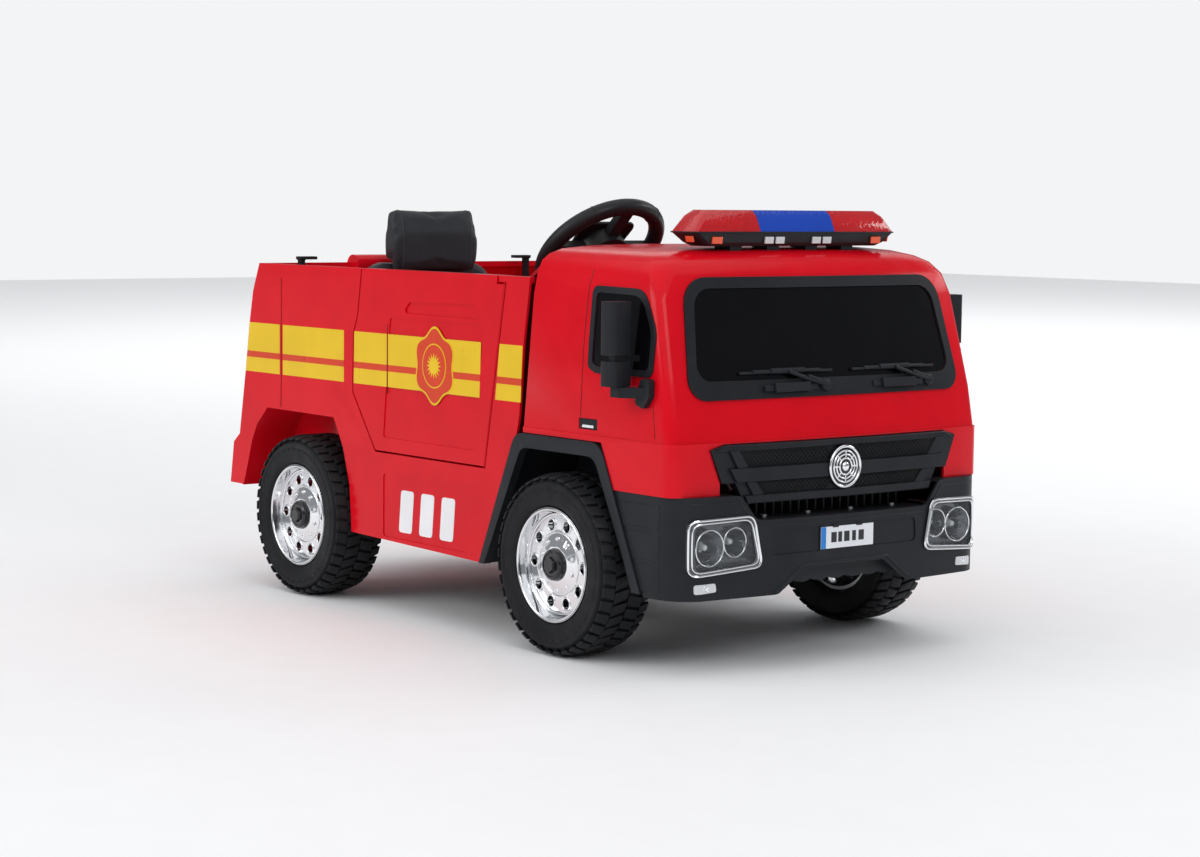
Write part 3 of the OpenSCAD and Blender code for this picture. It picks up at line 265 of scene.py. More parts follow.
PLATE_INK = Finish("plate_ink", (0.03, 0.03, 0.035), 0.4, grain=400, bump=0.03)
VINYL_YELLOW = Finish("vinyl_yellow", (0.80, 0.52, 0.006), 0.32, coat=0.1, grain=260, bump=0.05)
VINYL_ORANGE = Finish("vinyl_orange", (0.66, 0.045, 0.006), 0.32, coat=0.1, grain=260, bump=0.05)
VINYL_WHITE = Finish("vinyl_white", (0.86, 0.86, 0.88), 0.32, coat=0.35, grain=260, bump=0.05)
LEATHER = Finish("seat_leather", (0.020, 0.024, 0.030), 0.46, grain=620, bump=0.55, bump_depth=0.0004,
                 tone=0.15, gloss_spread=0.08, cells=True, sheen=0.1)
STITCH = Finish("stitching", (0.05, 0.055, 0.06), 0.7, grain=2400, bump=0.5)
STEEL = Finish("zinc_steel", (0.55, 0.56, 0.57), 0.34, metallic=1.0, grain=500, bump=0.15, tone=0.08,
               gloss_spread=0.1)
CASE_GREY = Finish("case_grey", (0.06, 0.065, 0.07), 0.55, grain=900, bump=0.3)
GRIP_BLACK = Finish("grip_black", (0.014, 0.015, 0.017), 0.38, grain=1300, bump=0.3, tone=0.12, gloss_spread=0.08)
BUTTON_RED = Finish("button_red", (0.62, 0.012, 0.012), 0.25, coat=0.5, grain=500, bump=0.05)
TAIL_RED = Finish("tail_red", (0.42, 0.006, 0.01), 0.12, transmission=0.3, coat=0.6, grain=420, bump=0.5, cells=True)
STUDIO_FLOOR = Finish("studio_floor", (0.93, 0.935, 0.945), 0.6, grain=60, bump=0.01, tone=0.005)


# ---- mesh tools -------------------------------------------------------------------------------


def placed(bm: bmesh.types.BMesh, name: str) -> bpy.types.Object:
    """Puts a mesh under construction into the scene.

    Args:
        bm: The mesh, which is freed.
        name: The object's name.

    Returns:
        The new object, not dressed yet.
    """
    mesh = bpy.data.meshes.new(name)
    bm.to_mesh(mesh)
    bm.free()
    obj = bpy.data.objects.new(name, mesh)
    bpy.context.scene.collection.objects.link(obj)
    return obj


def prism(bm: bmesh.types.BMesh, outline: list[tuple[float, float]], plane: Plane, low: float, high: float) -> None:
    """Extrudes an outline into a solid.

    Args:
        bm: The mesh it is added to.
        outline: Its corners, in order.
        plane: The plane the outline lies in.
        low: Where the solid starts along the third axis.
        high: Where it ends.
    """
    a, b, c = plane.value
    corners = []
    for u, v in outline:
        point = [0.0, 0.0, 0.0]
        point[a], point[b], point[c] = u, v, low
        corners.append(bm.verts.new(point))
    base = bm.faces.new(corners)
    made = bmesh.ops.extrude_face_region(bm, geom=[base], use_keep_orig=True)
    shift = [0.0, 0.0, 0.0]
    shift[c] = high - low
    moved = [g for g in made["geom"] if isinstance(g, bmesh.types.BMVert)]
    bmesh.ops.translate(bm, verts=moved, vec=shift)


def box(bm: bmesh.types.BMesh, low: tuple[float, float, float], high: tuple[float, float, float],
        turn: Matrix | None = None) -> list[bmesh.types.BMVert]:
    """Adds a block between two corners.

    Args:
        bm: The mesh it is added to.
        low: Its lowest corner.
        high: Its highest corner.
        turn: A rotation about its middle.

    Returns:
        The block's vertices.
    """
    made = bmesh.ops.create_cube(bm, size=1.0)["verts"]
    size = [h - l for l, h in zip(low, high)]
    middle = Vector([(h + l) / 2 for l, h in zip(low, high)])
    bmesh.ops.scale(bm, verts=made, vec=size)
    if turn:
        bmesh.ops.rotate(bm, verts=made, cent=(0, 0, 0), matrix=turn)
    bmesh.ops.translate(bm, verts=made, vec=middle)
    return made


def lathe(bm: bmesh.types.BMesh, profile: list[tuple[float, float]], place: Matrix, steps: int = 64) -> None:
    """Spins a profile of (radius, height) round the place's Z axis.

    Args:
        bm: The mesh it is added to.
        profile: Its points, closed on the axis or on themselves by the caller.
        place: Where its axis stands.
        steps: Segments round the axis.
    """
    verts = [bm.verts.new((r, 0.0, z)) for r, z in profile]
    edges = [bm.edges.new((verts[i], verts[i + 1])) for i in range(len(verts) - 1)]
    old = set(bm.verts) - set(verts)
    bmesh.ops.spin(bm, geom=verts + edges, cent=(0, 0, 0), axis=(0, 0, 1), angle=math.tau, steps=steps, use_merge=True)
    new = [v for v in bm.verts if v not in old]
    bmesh.ops.remove_doubles(bm, verts=new, dist=1e-6)
    new = [v for v in bm.verts if v not in old]
    bmesh.ops.transform(bm, matrix=place, verts=new)


def rounded_outline(points: list[tuple[float, float]], radius: float, steps: int = 4) -> list[tuple[float, float]]:
    """Rounds every corner of an outline.

    Args:
        points: Its corners.
        radius: The radius of each corner.
        steps: Segments in each corner.

    Returns:
        The outline with round corners.
    """
    out = []
    count = len(points)
    for i, corner in enumerate(points):
        b = Vector(corner)
        a, c = Vector(points[i - 1]), Vector(points[(i + 1) % count])
        start = b + (a - b).normalized() * min(radius, (a - b).length * 0.45)
        stop = b + (c - b).normalized() * min(radius, (c - b).length * 0.45)
        for s in range(steps + 1):
            t = s / steps
            p = start * (1 - t) ** 2 + b * 2 * t * (1 - t) + stop * t ** 2
            out.append((p.x, p.y))
    return out


def tube(bm: bmesh.types.BMesh, path: list[Vector], radius: float, closed: bool = False, sides: int = 10) -> None:
    """Sweeps a round section along a path.

    Args:
        bm: The mesh it is added to.
        path: The points it follows.
        radius: The section's radius.
        closed: Whether the path runs back to its start.
        sides: Corners of the section.
    """
    rings = []
    count = len(path)
    for i, point in enumerate(path):
        before = path[i - 1] if i or closed else point
        after = path[(i + 1) % count] if i + 1 < count or closed else point
        along = (Vector(after) - Vector(before)).normalized()
        turn = along.to_track_quat("Z", "Y").to_matrix().to_4x4()
        ring = bmesh.ops.create_circle(bm, cap_ends=False, radius=radius, segments=sides,
                                       matrix=Matrix.Translation(point) @ turn)["verts"]
        rings.append(ring)
    pairs = [(i, (i + 1) % count) for i in range(count if closed else count - 1)]
    for i, j in pairs:
        edges = {e for v in rings[i] + rings[j] for e in v.link_edges
                 if (e.verts[0] in rings[i] and e.verts[1] in rings[i])
                 or (e.verts[0] in rings[j] and e.verts[1] in rings[j])}
        bmesh.ops.bridge_loops(bm, edges=list(edges))
    if not closed:
        for ring in (rings[0], rings[-1]):
            bm.faces.new(ring)


def bead(bm: bmesh.types.BMesh, ring_radius: float, radius: float, place: Matrix, steps: int = 72) -> None:
    """Adds a ring of round section.

    Args:
        bm: The mesh it is added to.
        ring_radius: Radius to the middle of the section.
        radius: The section's radius.
        place: Where its axis stands.
        steps: Segments round the axis.
    """
    profile = [(ring_radius + radius * math.cos(a), radius * math.sin(a))
               for a in (math.tau * i / 12 for i in range(13))]
    profile[-1] = profile[0]
    lathe(bm, profile, place, steps)


@dataclass
class Piece:
    """A finished piece: its mesh in the truck's frame, its finish and the body it rides on."""

    name: str
    finish: Finish
    body: str = "root"
    slot: str | None = None
    replaces: tuple[str, ...] = ()
    bevel: float = 0.0
    segments: int = 3
    sharp: float = 38.0

    def make(self, bm: bmesh.types.BMesh) -> bpy.types.Object:
        """Turns a mesh under construction into this piece.

        Args:
            bm: The mesh, which is freed.

        Returns:
            The piece's object, dressed and riding on its body.
        """
        bmesh.ops.recalc_face_normals(bm, faces=bm.faces[:])
        self._shade(bm)
        return self.dress(placed(bm, self.name))

    def _shade(self, bm: bmesh.types.BMesh) -> None:
        """Smooths the faces and keeps the sharp edges sharp.

        Args:
            bm: The mesh under construction.
        """
        limit = math.radians(self.sharp)
        for f in bm.faces:
            f.smooth = True
        for e in bm.edges:
            e.smooth = len(e.link_faces) == 2 and e.calc_face_angle(0.0) < limit

    def dress(self, obj: bpy.types.Object) -> bpy.types.Object:
        """Gives an object this piece's finish, bevel and body.

        Args:
            obj: The object.

        Returns:
            The same object.
        """
        obj.data.materials.clear()
        obj.data.materials.append(self.finish.material())
        if self.bevel > 0:
            edge = obj.modifiers.new("edges", "BEVEL")
            edge.width = self.bevel
            edge.segments = self.segments
            edge.limit_method = "ANGLE"
            edge.angle_limit = math.radians(32)
            edge.harden_normals = True
        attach(obj, self.body)
        if self.replaces:
            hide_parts(*self.replaces)
        return obj

    def from_node(self, node: str) -> bpy.types.Object:
        """Makes this piece from a merged, cleaned copy of a CAD node's mesh.

        Args:
            node: The node it stands for.

        Returns:
            The piece's object.
        """
        bm = bmesh.new()
        bm.from_mesh(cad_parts[node].data)
        bmesh.ops.remove_doubles(bm, verts=bm.verts[:], dist=2e-6)
        bmesh.ops.dissolve_limit(bm, angle_limit=math.radians(0.6), verts=bm.verts[:], edges=bm.edges[:])
        self._shade(bm)
        return self.dress(placed(bm, self.name))


def surface_of(node: str) -> BVHTree:
    """A CAD node's surface, for laying lines on it.

    Args:
        node: The node.

    Returns:
        Its search tree.
    """
    bm = bmesh.new()
    bm.from_mesh(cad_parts[node].data)
    tree = BVHTree.FromBMesh(bm)
    bm.free()
    return tree


def laid(tree: BVHTree, points: list[tuple[float, float, float]], aim: tuple[float, float, float],
         lift: float = 0.0, steps: int = 14) -> list[Vector]:
    """Drops a line of points onto a surface.

    Args:
        tree: The surface.
        points: Corners of the line, outside the surface.
        aim: The direction it is dropped in.
        lift: How far above the surface it ends.
        steps: Samples between two corners.

    Returns:
        The points on the surface.
    """
    out: list[Vector] = []
    way = Vector(aim).normalized()
    for a, b in zip(points, points[1:]):
        for i in range(steps):
            start = Vector(a).lerp(Vector(b), i / steps)
            hit = tree.ray_cast(start, way)
            if hit[0] is not None:
                out.append(hit[0] - way * lift)
    hit = tree.ray_cast(Vector(points[-1]), way)
    if hit[0] is not None:
        out.append(hit[0] - way * lift)
    return out


# ---- carried-over shells ----------------------------------------------------------------------


@dataclass
class Shells:
    """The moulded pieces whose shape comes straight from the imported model, with softened edges."""

    soft_edges: dict[str, tuple[Finish, str, float]] = field(default_factory=lambda: {
        "floor_pan": (UNDER_BLACK, "under_plastic", 0.0008),
        "rear_body": (RED_SHELL, "red_shell", 0.0012),
        "cab_body": (RED_SHELL, "red_shell", 0.0012),
        "dash_panel": (DASH_RED, "dash", 0.0012),
        "front_bumper": (TRIM_BLACK, "black_trim", 0.0012),
        "grille": (TRIM_BLACK, "black_trim", 0.0012),
        "windscreen_frame": (TRIM_BLACK, "black_trim", 0.0010),
        "window_frames": (TRIM_BLACK, "black_trim", 0.0008),
        "right_arch_trim": (TRIM_BLACK, "black_trim", 0.0014),
        "left_arch_trim": (TRIM_BLACK, "black_trim", 0.0014),
        "skid_plate": (TRIM_BLACK, "black_trim", 0.0012),
        "lightbar_base": (TRIM_BLACK, "black_trim", 0.0012),
        "right_headlamp": (LAMP_SILVER, "chrome_trim", 0.0006),
        "left_headlamp": (LAMP_SILVER, "chrome_trim", 0.0006),
        "bed_clips": (TRIM_BLACK, "black_trim", 0.0012),
        "mirror_arms": (TRIM_BLACK, "black_trim", 0.0012),
        "gearboxes": (UNDER_BLACK, "under_plastic", 0.0015),
        "battery": (CASE_GREY, "battery_case", 0.0015),
        "controller": (CASE_GREY, "battery_case", 0.0012),
        "front_axle_beam": (STEEL, "steel", 0.0008),
        "tail_lamps": (TAIL_RED, "tail_lens", 0.0012),
        "lightbar_red_lenses": (RED_LENS, "red_lens", 0.0016),
        "lightbar_blue_lens": (BLUE_LENS, "blue_lens", 0.0016),
        "fog_lamps": (WHITE_LAMP, "clear_lens", 0.0005),
        "number_plate": (PLATE_WHITE, "plate", 0.0001),
    })
    moving: dict[str, tuple[str, Finish, str, float]] = field(default_factory=lambda: {
        "right_door": ("right_door", RED_SHELL, "red_shell", 0.0012),
        "left_door": ("left_door", RED_SHELL, "red_shell", 0.0012),
        "right_mirror": ("right_mirror", TRIM_BLACK, "black_trim", 0.0025),
        "left_mirror": ("left_mirror", TRIM_BLACK, "black_trim", 0.0025),
        "steering_wheel": ("steering", GRIP_BLACK, "wheel_grip", 0.0025),
        "accelerator_pedal": ("pedal", TRIM_BLACK, "black_trim", 0.0015),
        "tie_rod": ("tie_rod", STEEL, "steel", 0.0006),
        "power_button": ("power_button", BUTTON_RED, "button_red", 0.0012),
        "horn_button": ("horn", GRIP_BLACK, "wheel_grip", 0.0012),
    })
    plain: dict[str, Finish] = field(default_factory=lambda: {
        "windscreen": SCREEN_BLACK, "window_panes": SCREEN_BLACK, "headlamp_lenses": CLEAR_LENS,
        "rear_axle": STEEL, "body_screws": STEEL, "right_knuckle": STEEL, "left_knuckle": STEEL,
        "steering_shaft": STEEL,
    })

    def build(self) -> None:
        """Makes the softened copies and dresses the nodes that stay."""
        for node, (finish, slot, width) in self.soft_edges.items():
            Piece(f"{node}_shell", finish, "root", slot, (node,), width, 2).from_node(node)
        for node, (body, finish, slot, width) in self.moving.items():
            Piece(f"{node}_shell", finish, body, slot, (node,), width, 2).from_node(node)
        for node, finish in self.plain.items():
            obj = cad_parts[node]
            obj.data.materials.clear()
            obj.data.materials.append(finish.material())
            for polygon in obj.data.polygons:
                polygon.material_index = 0


# ---- decals and seams -------------------------------------------------------------------------


@dataclass
class SideGraphics:
    """The vinyl stripes, the round badge and the marks on both sides, with dark lines painted as the shade in the panel
    seams.
    """

    film: float = 0.00035
    low_z: float = 0.345
    core_low_z: float = 0.3685
    core_high_z: float = 0.3785
    high_z: float = 0.425
    rear_runs: tuple = ((-0.5385, -0.5255, -0.431, -0.431), (-0.4215, -0.4215, -0.2395, -0.2395))
    door_runs: tuple = ((-0.211, -0.2095, -0.119, -0.119), (-0.1155, -0.1155, 0.123, 0.126))
    front_runs: tuple = ((0.162, 0.172, 0.223, 0.2265),)
    badge_x: float = 0.009
    badge_z: float = 0.384

    def _band(self, bm: bmesh.types.BMesh, side: Side, run: tuple, low: float, high: float, lift: float) -> None:
        """One length of stripe between two heights.

        Args:
            bm: The mesh it is added to.
            side: The side it is on.
            run: Its rear end low and high, and its front end low and high.
            low: Its lower edge.
            high: Its upper edge.
            lift: Its outer face above the panel.
        """
        def at(a: float, b: float, z: float) -> float:
            """The end's place at a height.

            Args:
                a: Its X at the lower edge of the stripes.
                b: Its X at the upper edge.
                z: The height.

            Returns:
                Its X at that height.
            """
            return a + (b - a) * (z - self.low_z) / (self.high_z - self.low_z)

        outline = [(at(run[0], run[1], low), low), (at(run[2], run[3], low), low),
                   (at(run[2], run[3], high), high), (at(run[0], run[1], high), high)]
        near, far = sorted((side.value * (SIDE_Y - 0.0001), side.value * (SIDE_Y + lift)))
        prism(bm, outline, Plane.XZ, near, far)

    def _stripes(self, side: Side, body: str, runs: tuple, word: str) -> None:
        """The yellow stripes and their orange core over some runs.

        Args:
            side: The side they are on.
            body: The body they ride on.
            runs: Their lengths.
            word: The place in their names.
        """
        yellow, core = bmesh.new(), bmesh.new()
        for run in runs:
            self._band(yellow, side, run, self.low_z, self.core_low_z, self.film)
            self._band(yellow, side, run, self.core_high_z, self.high_z, self.film)
            self._band(core, side, run, self.core_low_z, self.core_high_z, self.film)
        Piece(f"stripe_yellow_{word}_{side.word}", VINYL_YELLOW, body).make(yellow)
        Piece(f"stripe_core_{word}_{side.word}", VINYL_ORANGE, body).make(core)

    def _disc(self, side: Side, radius: float, lobes: float, lift: float, name: str, finish: Finish) -> None:
        """One layer of the round badge, with a gently lobed edge.

        Args:
            side: The side it is on.
            radius: Its middle radius.
            lobes: How far its edge swings in and out.
            lift: Its outer face above the panel.
            name: The layer's name.
            finish: Its vinyl.
        """
        outline = []
        for i in range(96):
            a = math.tau * i / 96
            r = radius + lobes * math.cos(6 * a)
            outline.append((self.badge_x + 0.93 * r * math.sin(a), self.badge_z + r * math.cos(a)))
        bm = bmesh.new()
        near, far = sorted((side.value * (SIDE_Y - 0.0001), side.value * (SIDE_Y + lift)))
        prism(bm, outline, Plane.XZ, near, far)
        Piece(f"badge_{name}_{side.word}", finish, f"{side.word}_door").make(bm)

    def _star(self, side: Side) -> None:
        """The plain many-pointed sun in the middle of the badge.

        Args:
            side: The side it is on.
        """
        outline = []
        for i in range(32):
            a = math.tau * i / 32
            r = 0.019 if i % 2 == 0 else 0.0105
            outline.append((self.badge_x + r * math.sin(a), self.badge_z + r * math.cos(a)))
        bm = bmesh.new()
        near, far = sorted((side.value * SIDE_Y, side.value * (SIDE_Y + self.film * 6)))
        prism(bm, outline, Plane.XZ, near, far)
        Piece(f"badge_sun_{side.word}", VINYL_YELLOW, f"{side.word}_door").make(bm)

    def _marks(self, side: Side) -> None:
        """Three white upright blocks on the skirt.

        Args:
            side: The side they are on.
        """
        bm = bmesh.new()
        near, far = sorted((side.value * (SIDE_Y - 0.0017), side.value * (SIDE_Y - 0.0009)))
        for start in (-0.086, -0.032, 0.022):
            outline = rounded_outline([(start, 0.128), (start + 0.034, 0.128), (start + 0.040, 0.192),
                                       (start + 0.006, 0.192)], 0.006)
            prism(bm, outline, Plane.XZ, near, far)
        Piece(f"skirt_marks_{side.word}", VINYL_WHITE, "root").make(bm)

    def _seams(self, side: Side) -> None:
        """Dark red lines painted as the shade in the fine grooves moulded between the panels.

        Args:
            side: The side they are on.
        """
        y = side.value * SIDE_Y
        # Painted shade: thin dark red tubes along the panel lines stand in for the shadow in the grooves.
        tails = bmesh.new()
        tube(tails, [Vector((-0.428, y, 0.292)), Vector((-0.4265, y, 0.345)), Vector((-0.4262, y, 0.50))], 0.0009)
        Piece(f"tail_seam_{side.word}", RED_GROOVE_SHADE, "root").make(tails)
        doors = bmesh.new()
        tube(doors, [Vector((-0.1172, y, 0.335)), Vector((-0.1172, y, 0.440))], 0.0008)
        Piece(f"door_seam_{side.word}", RED_GROOVE_SHADE, f"{side.word}_door").make(doors)
        cab = surface_of("cab_body")
        start = side.value * CLEAR_Y
        lines = bmesh.new()
        door_line = laid(cab, [(0.3705, start, 0.536), (0.3655, start, 0.45), (0.3595, start, 0.318)],
                         (0, -side.value, 0), -0.0002)
        if len(door_line) > 2:
            tube(lines, door_line, 0.0009, sides=8)
        corner = laid(cab, [(0.5155, start, 0.36), (0.5215, start, 0.318)], (0, -side.value, 0), -0.0002)
        if len(corner) > 2:
            tube(lines, corner, 0.0009, sides=8)
        Piece(f"cab_seams_{side.word}", RED_GROOVE_SHADE, "root").make(lines)

    def build(self) -> None:
        """Lays the graphics on both sides."""
        for side in Side:
            door = f"{side.word}_door"
            self._stripes(side, "root", self.rear_runs, "bed")
            self._stripes(side, door, self.door_runs, "door")
            self._stripes(side, "root", self.front_runs, "shoulder")
            self._disc(side, 0.0540, 0.0042, self.film * 2, "edge", VINYL_YELLOW)
            self._disc(side, 0.0508, 0.0040, self.film * 3, "field", VINYL_ORANGE)
            self._disc(side, 0.0330, 0.0, self.film * 4, "ring", VINYL_YELLOW)
            self._disc(side, 0.0310, 0.0, self.film * 5, "middle", VINYL_ORANGE)
            self._star(side)
            self._marks(side)
            self._seams(side)


# ---- wheels -----------------------------------------------------------------------------------


@dataclass
class Wheel:
    """One wheel: a hollow moulded tyre with block tread, a bright dished rim and a hub cap."""

    end: str
    side: Side
    axle_x: float
    radius: float = 0.1275
    half_w: float = 0.044
    rim_r: float = 0.080
    blocks: int = 40

    @property
    def body(self) -> str:
        """The body the wheel rides on."""
        return f"{self.end}_{self.side.word}_wheel"

    @property
    def place(self) -> Matrix:
        """The wheel's own frame, its Z axis along the axle towards the outside."""
        turn = Matrix.Rotation(math.radians(-90 if self.side is Side.LEFT else 90), 4, "X")
        return Matrix.Translation((self.axle_x, self.side.value * TRACK_HALF, AXLE_Z)) @ turn

    @property
    def dish(self) -> float:
        """The rim's sunken face, as a distance along the axle."""
        return self.half_w - 0.014

    def _carcass(self) -> bmesh.types.BMesh:
        """The tyre's hollow body, with ribbed side walls.

        Returns:
            The mesh, in the truck's frame.
        """
        w, r, rim = self.half_w, self.radius, self.rim_r
        floor = r - 0.0045
        outer = [
            (rim, -w + 0.014), (rim + 0.004, -w + 0.004), (rim + 0.014, -w), (r - 0.014, -w + 0.0005),
            (floor - 0.003, -w + 0.009), (floor, -w + 0.020), (floor, w - 0.020), (floor - 0.003, w - 0.009),
            (r - 0.014, w - 0.0006), (r - 0.019, w), (r - 0.021, w - 0.0012), (rim + 0.022, w - 0.0004),
            (rim + 0.019, w - 0.0012), (rim + 0.010, w - 0.001), (rim + 0.006, w - 0.0026), (rim + 0.002, w - 0.005),
            (rim, w - 0.009),
        ]
        inner = [(rim, w - 0.017), (r - 0.014, w - 0.008), (floor - 0.007, w - 0.022),
                 (floor - 0.007, -w + 0.022), (r - 0.014, -w + 0.008), (rim, -w + 0.022)]
        bm = bmesh.new()
        lathe(bm, outer + inner + [outer[0]], self.place, 120)
        return bm

    def _tread(self) -> bmesh.types.BMesh:
        """The tread's blocks: two zigzag rows in the middle and notched lugs over the shoulders.

        Returns:
            The mesh, in the truck's frame.
        """
        bm = bmesh.new()
        pitch = math.tau / self.blocks
        crown, floor, w = self.radius - 0.0003, self.radius - 0.0060, self.half_w
        rows = [
            (-0.0125, 0.0115, 0.0, 0.30, crown, crown), (0.0125, 0.0115, 0.5, -0.30, crown, crown),
            (-0.0335, 0.0085, 0.25, -0.22, crown - 0.0045, crown), (0.0335, 0.0085, 0.75, 0.22, crown, crown - 0.0045),
        ]
        for middle, half, phase, skew, low_r, high_r in rows:
            for i in range(self.blocks):
                angle = (i + phase) * pitch
                arc = crown * pitch * 0.40
                verts = bmesh.ops.create_cube(bm, size=1.0)["verts"]
                for v in verts:
                    across = middle + v.co.z * 2 * half
                    along = v.co.y * 2 * arc + skew * v.co.z * 2 * half
                    if abs(v.co.z) > 0.4 and (v.co.z > 0) == (skew > 0):
                        along *= 0.86
                    top = low_r if across < middle else high_r
                    reach = top if v.co.x > 0 else floor - 0.002
                    a = angle + along / crown
                    v.co = Vector((reach * math.cos(a), reach * math.sin(a), across))
        for sign in (-1, 1):
            for i in range(self.blocks):
                angle = (i + 0.5) * pitch
                arc = crown * pitch * (0.30 if i % 2 else 0.22)
                verts = bmesh.ops.create_cube(bm, size=1.0)["verts"]
                for v in verts:
                    outer = v.co.x > 0
                    reach = (crown - 0.0075) if outer else self.radius - 0.024
                    depth = sign * ((w - 0.0062 if outer else w + 0.0002) if v.co.z > 0 else w - 0.013)
                    a = angle + v.co.y * 2 * arc / crown
                    v.co = Vector((reach * math.cos(a), reach * math.sin(a), depth))
        bmesh.ops.bevel(bm, geom=bm.edges[:], offset=0.0007, offset_type="OFFSET", segments=2, profile=0.5,
                        affect="EDGES", material=-1)
        bmesh.ops.transform(bm, matrix=self.place, verts=bm.verts[:])
        return bm

    def _rim_face(self) -> bmesh.types.BMesh:
        """The beads and hole collars on the rim's face.

        Returns:
            The mesh, in the truck's frame.
        """
        bm = bmesh.new()
        dish = self.dish
        bead(bm, self.rim_r - 0.0028, 0.0021, self.place @ Matrix.Translation((0, 0, self.half_w - 0.0046)), 96)
        bead(bm, self.rim_r - 0.0105, 0.0016, self.place @ Matrix.Translation((0, 0, dish - 0.0045)), 96)
        bead(bm, 0.0445, 0.0013, self.place @ Matrix.Translation((0, 0, dish - 0.0040)), 80)
        for i in range(10):
            a = math.tau * i / 10
            spot = Matrix.Translation((0.056 * math.cos(a), 0.056 * math.sin(a), dish - 0.0042))
            bead(bm, 0.0086, 0.0013, self.place @ spot, 20)
            nut = Matrix.Translation((0.0355 * math.cos(a + 0.31), 0.0355 * math.sin(a + 0.31), dish - 0.0035))
            lathe(bm, [(0.0, 0.0048), (0.0018, 0.0046), (0.0030, 0.0032), (0.0032, -0.001), (0.0, -0.001)],
                  self.place @ nut, 12)
        return bm

    def _cap(self) -> bmesh.types.BMesh:
        """The black hub cap with a six-sided middle.

        Returns:
            The mesh, in the truck's frame.
        """
        bm = bmesh.new()
        dish = self.dish
        lathe(bm, [(0.0, 0.0375), (0.009, 0.0375), (0.009, dish - 0.0027)], self.place, 40)
        lathe(bm, [(0.0, dish - 0.0026), (0.0227, dish - 0.0026), (0.0228, dish + 0.0035), (0.0215, dish + 0.0085),
                   (0.0185, dish + 0.0110), (0.0165, dish + 0.0112), (0.0160, dish + 0.0096), (0.0, dish + 0.0094)],
              self.place, 56)
        made = bmesh.ops.create_cone(bm, cap_ends=True, segments=6, radius1=0.0125, radius2=0.0105, depth=0.0055)
        bmesh.ops.transform(bm, matrix=self.place @ Matrix.Translation((0, 0, dish + 0.0120)), verts=made["verts"])
        return bm

    def build(self) -> None:
        """Makes the wheel's pieces."""
        stem = f"{self.end}_{self.side.word}"
        Piece(f"{stem}_carcass", TYRE_BLACK, self.body, "tyre", (f"{stem}_tyre",)).make(self._carcass())
        Piece(f"{stem}_tread", TYRE_BLACK, self.body, "tyre", sharp=25).make(self._tread())
        Piece(f"{stem}_rim_dish", RIM_PLATE, self.body, "rim", (f"{stem}_rim",), 0.0008, 2).from_node(f"{stem}_rim")
        Piece(f"{stem}_rim_beads", RIM_PLATE, self.body, "rim").make(self._rim_face())
        Piece(f"{stem}_cap", GLOSS_BLACK, self.body, "black_gloss", (f"{stem}_hub_cap",), 0.0006).make(self._cap())


# ---- front end --------------------------------------------------------------------------------


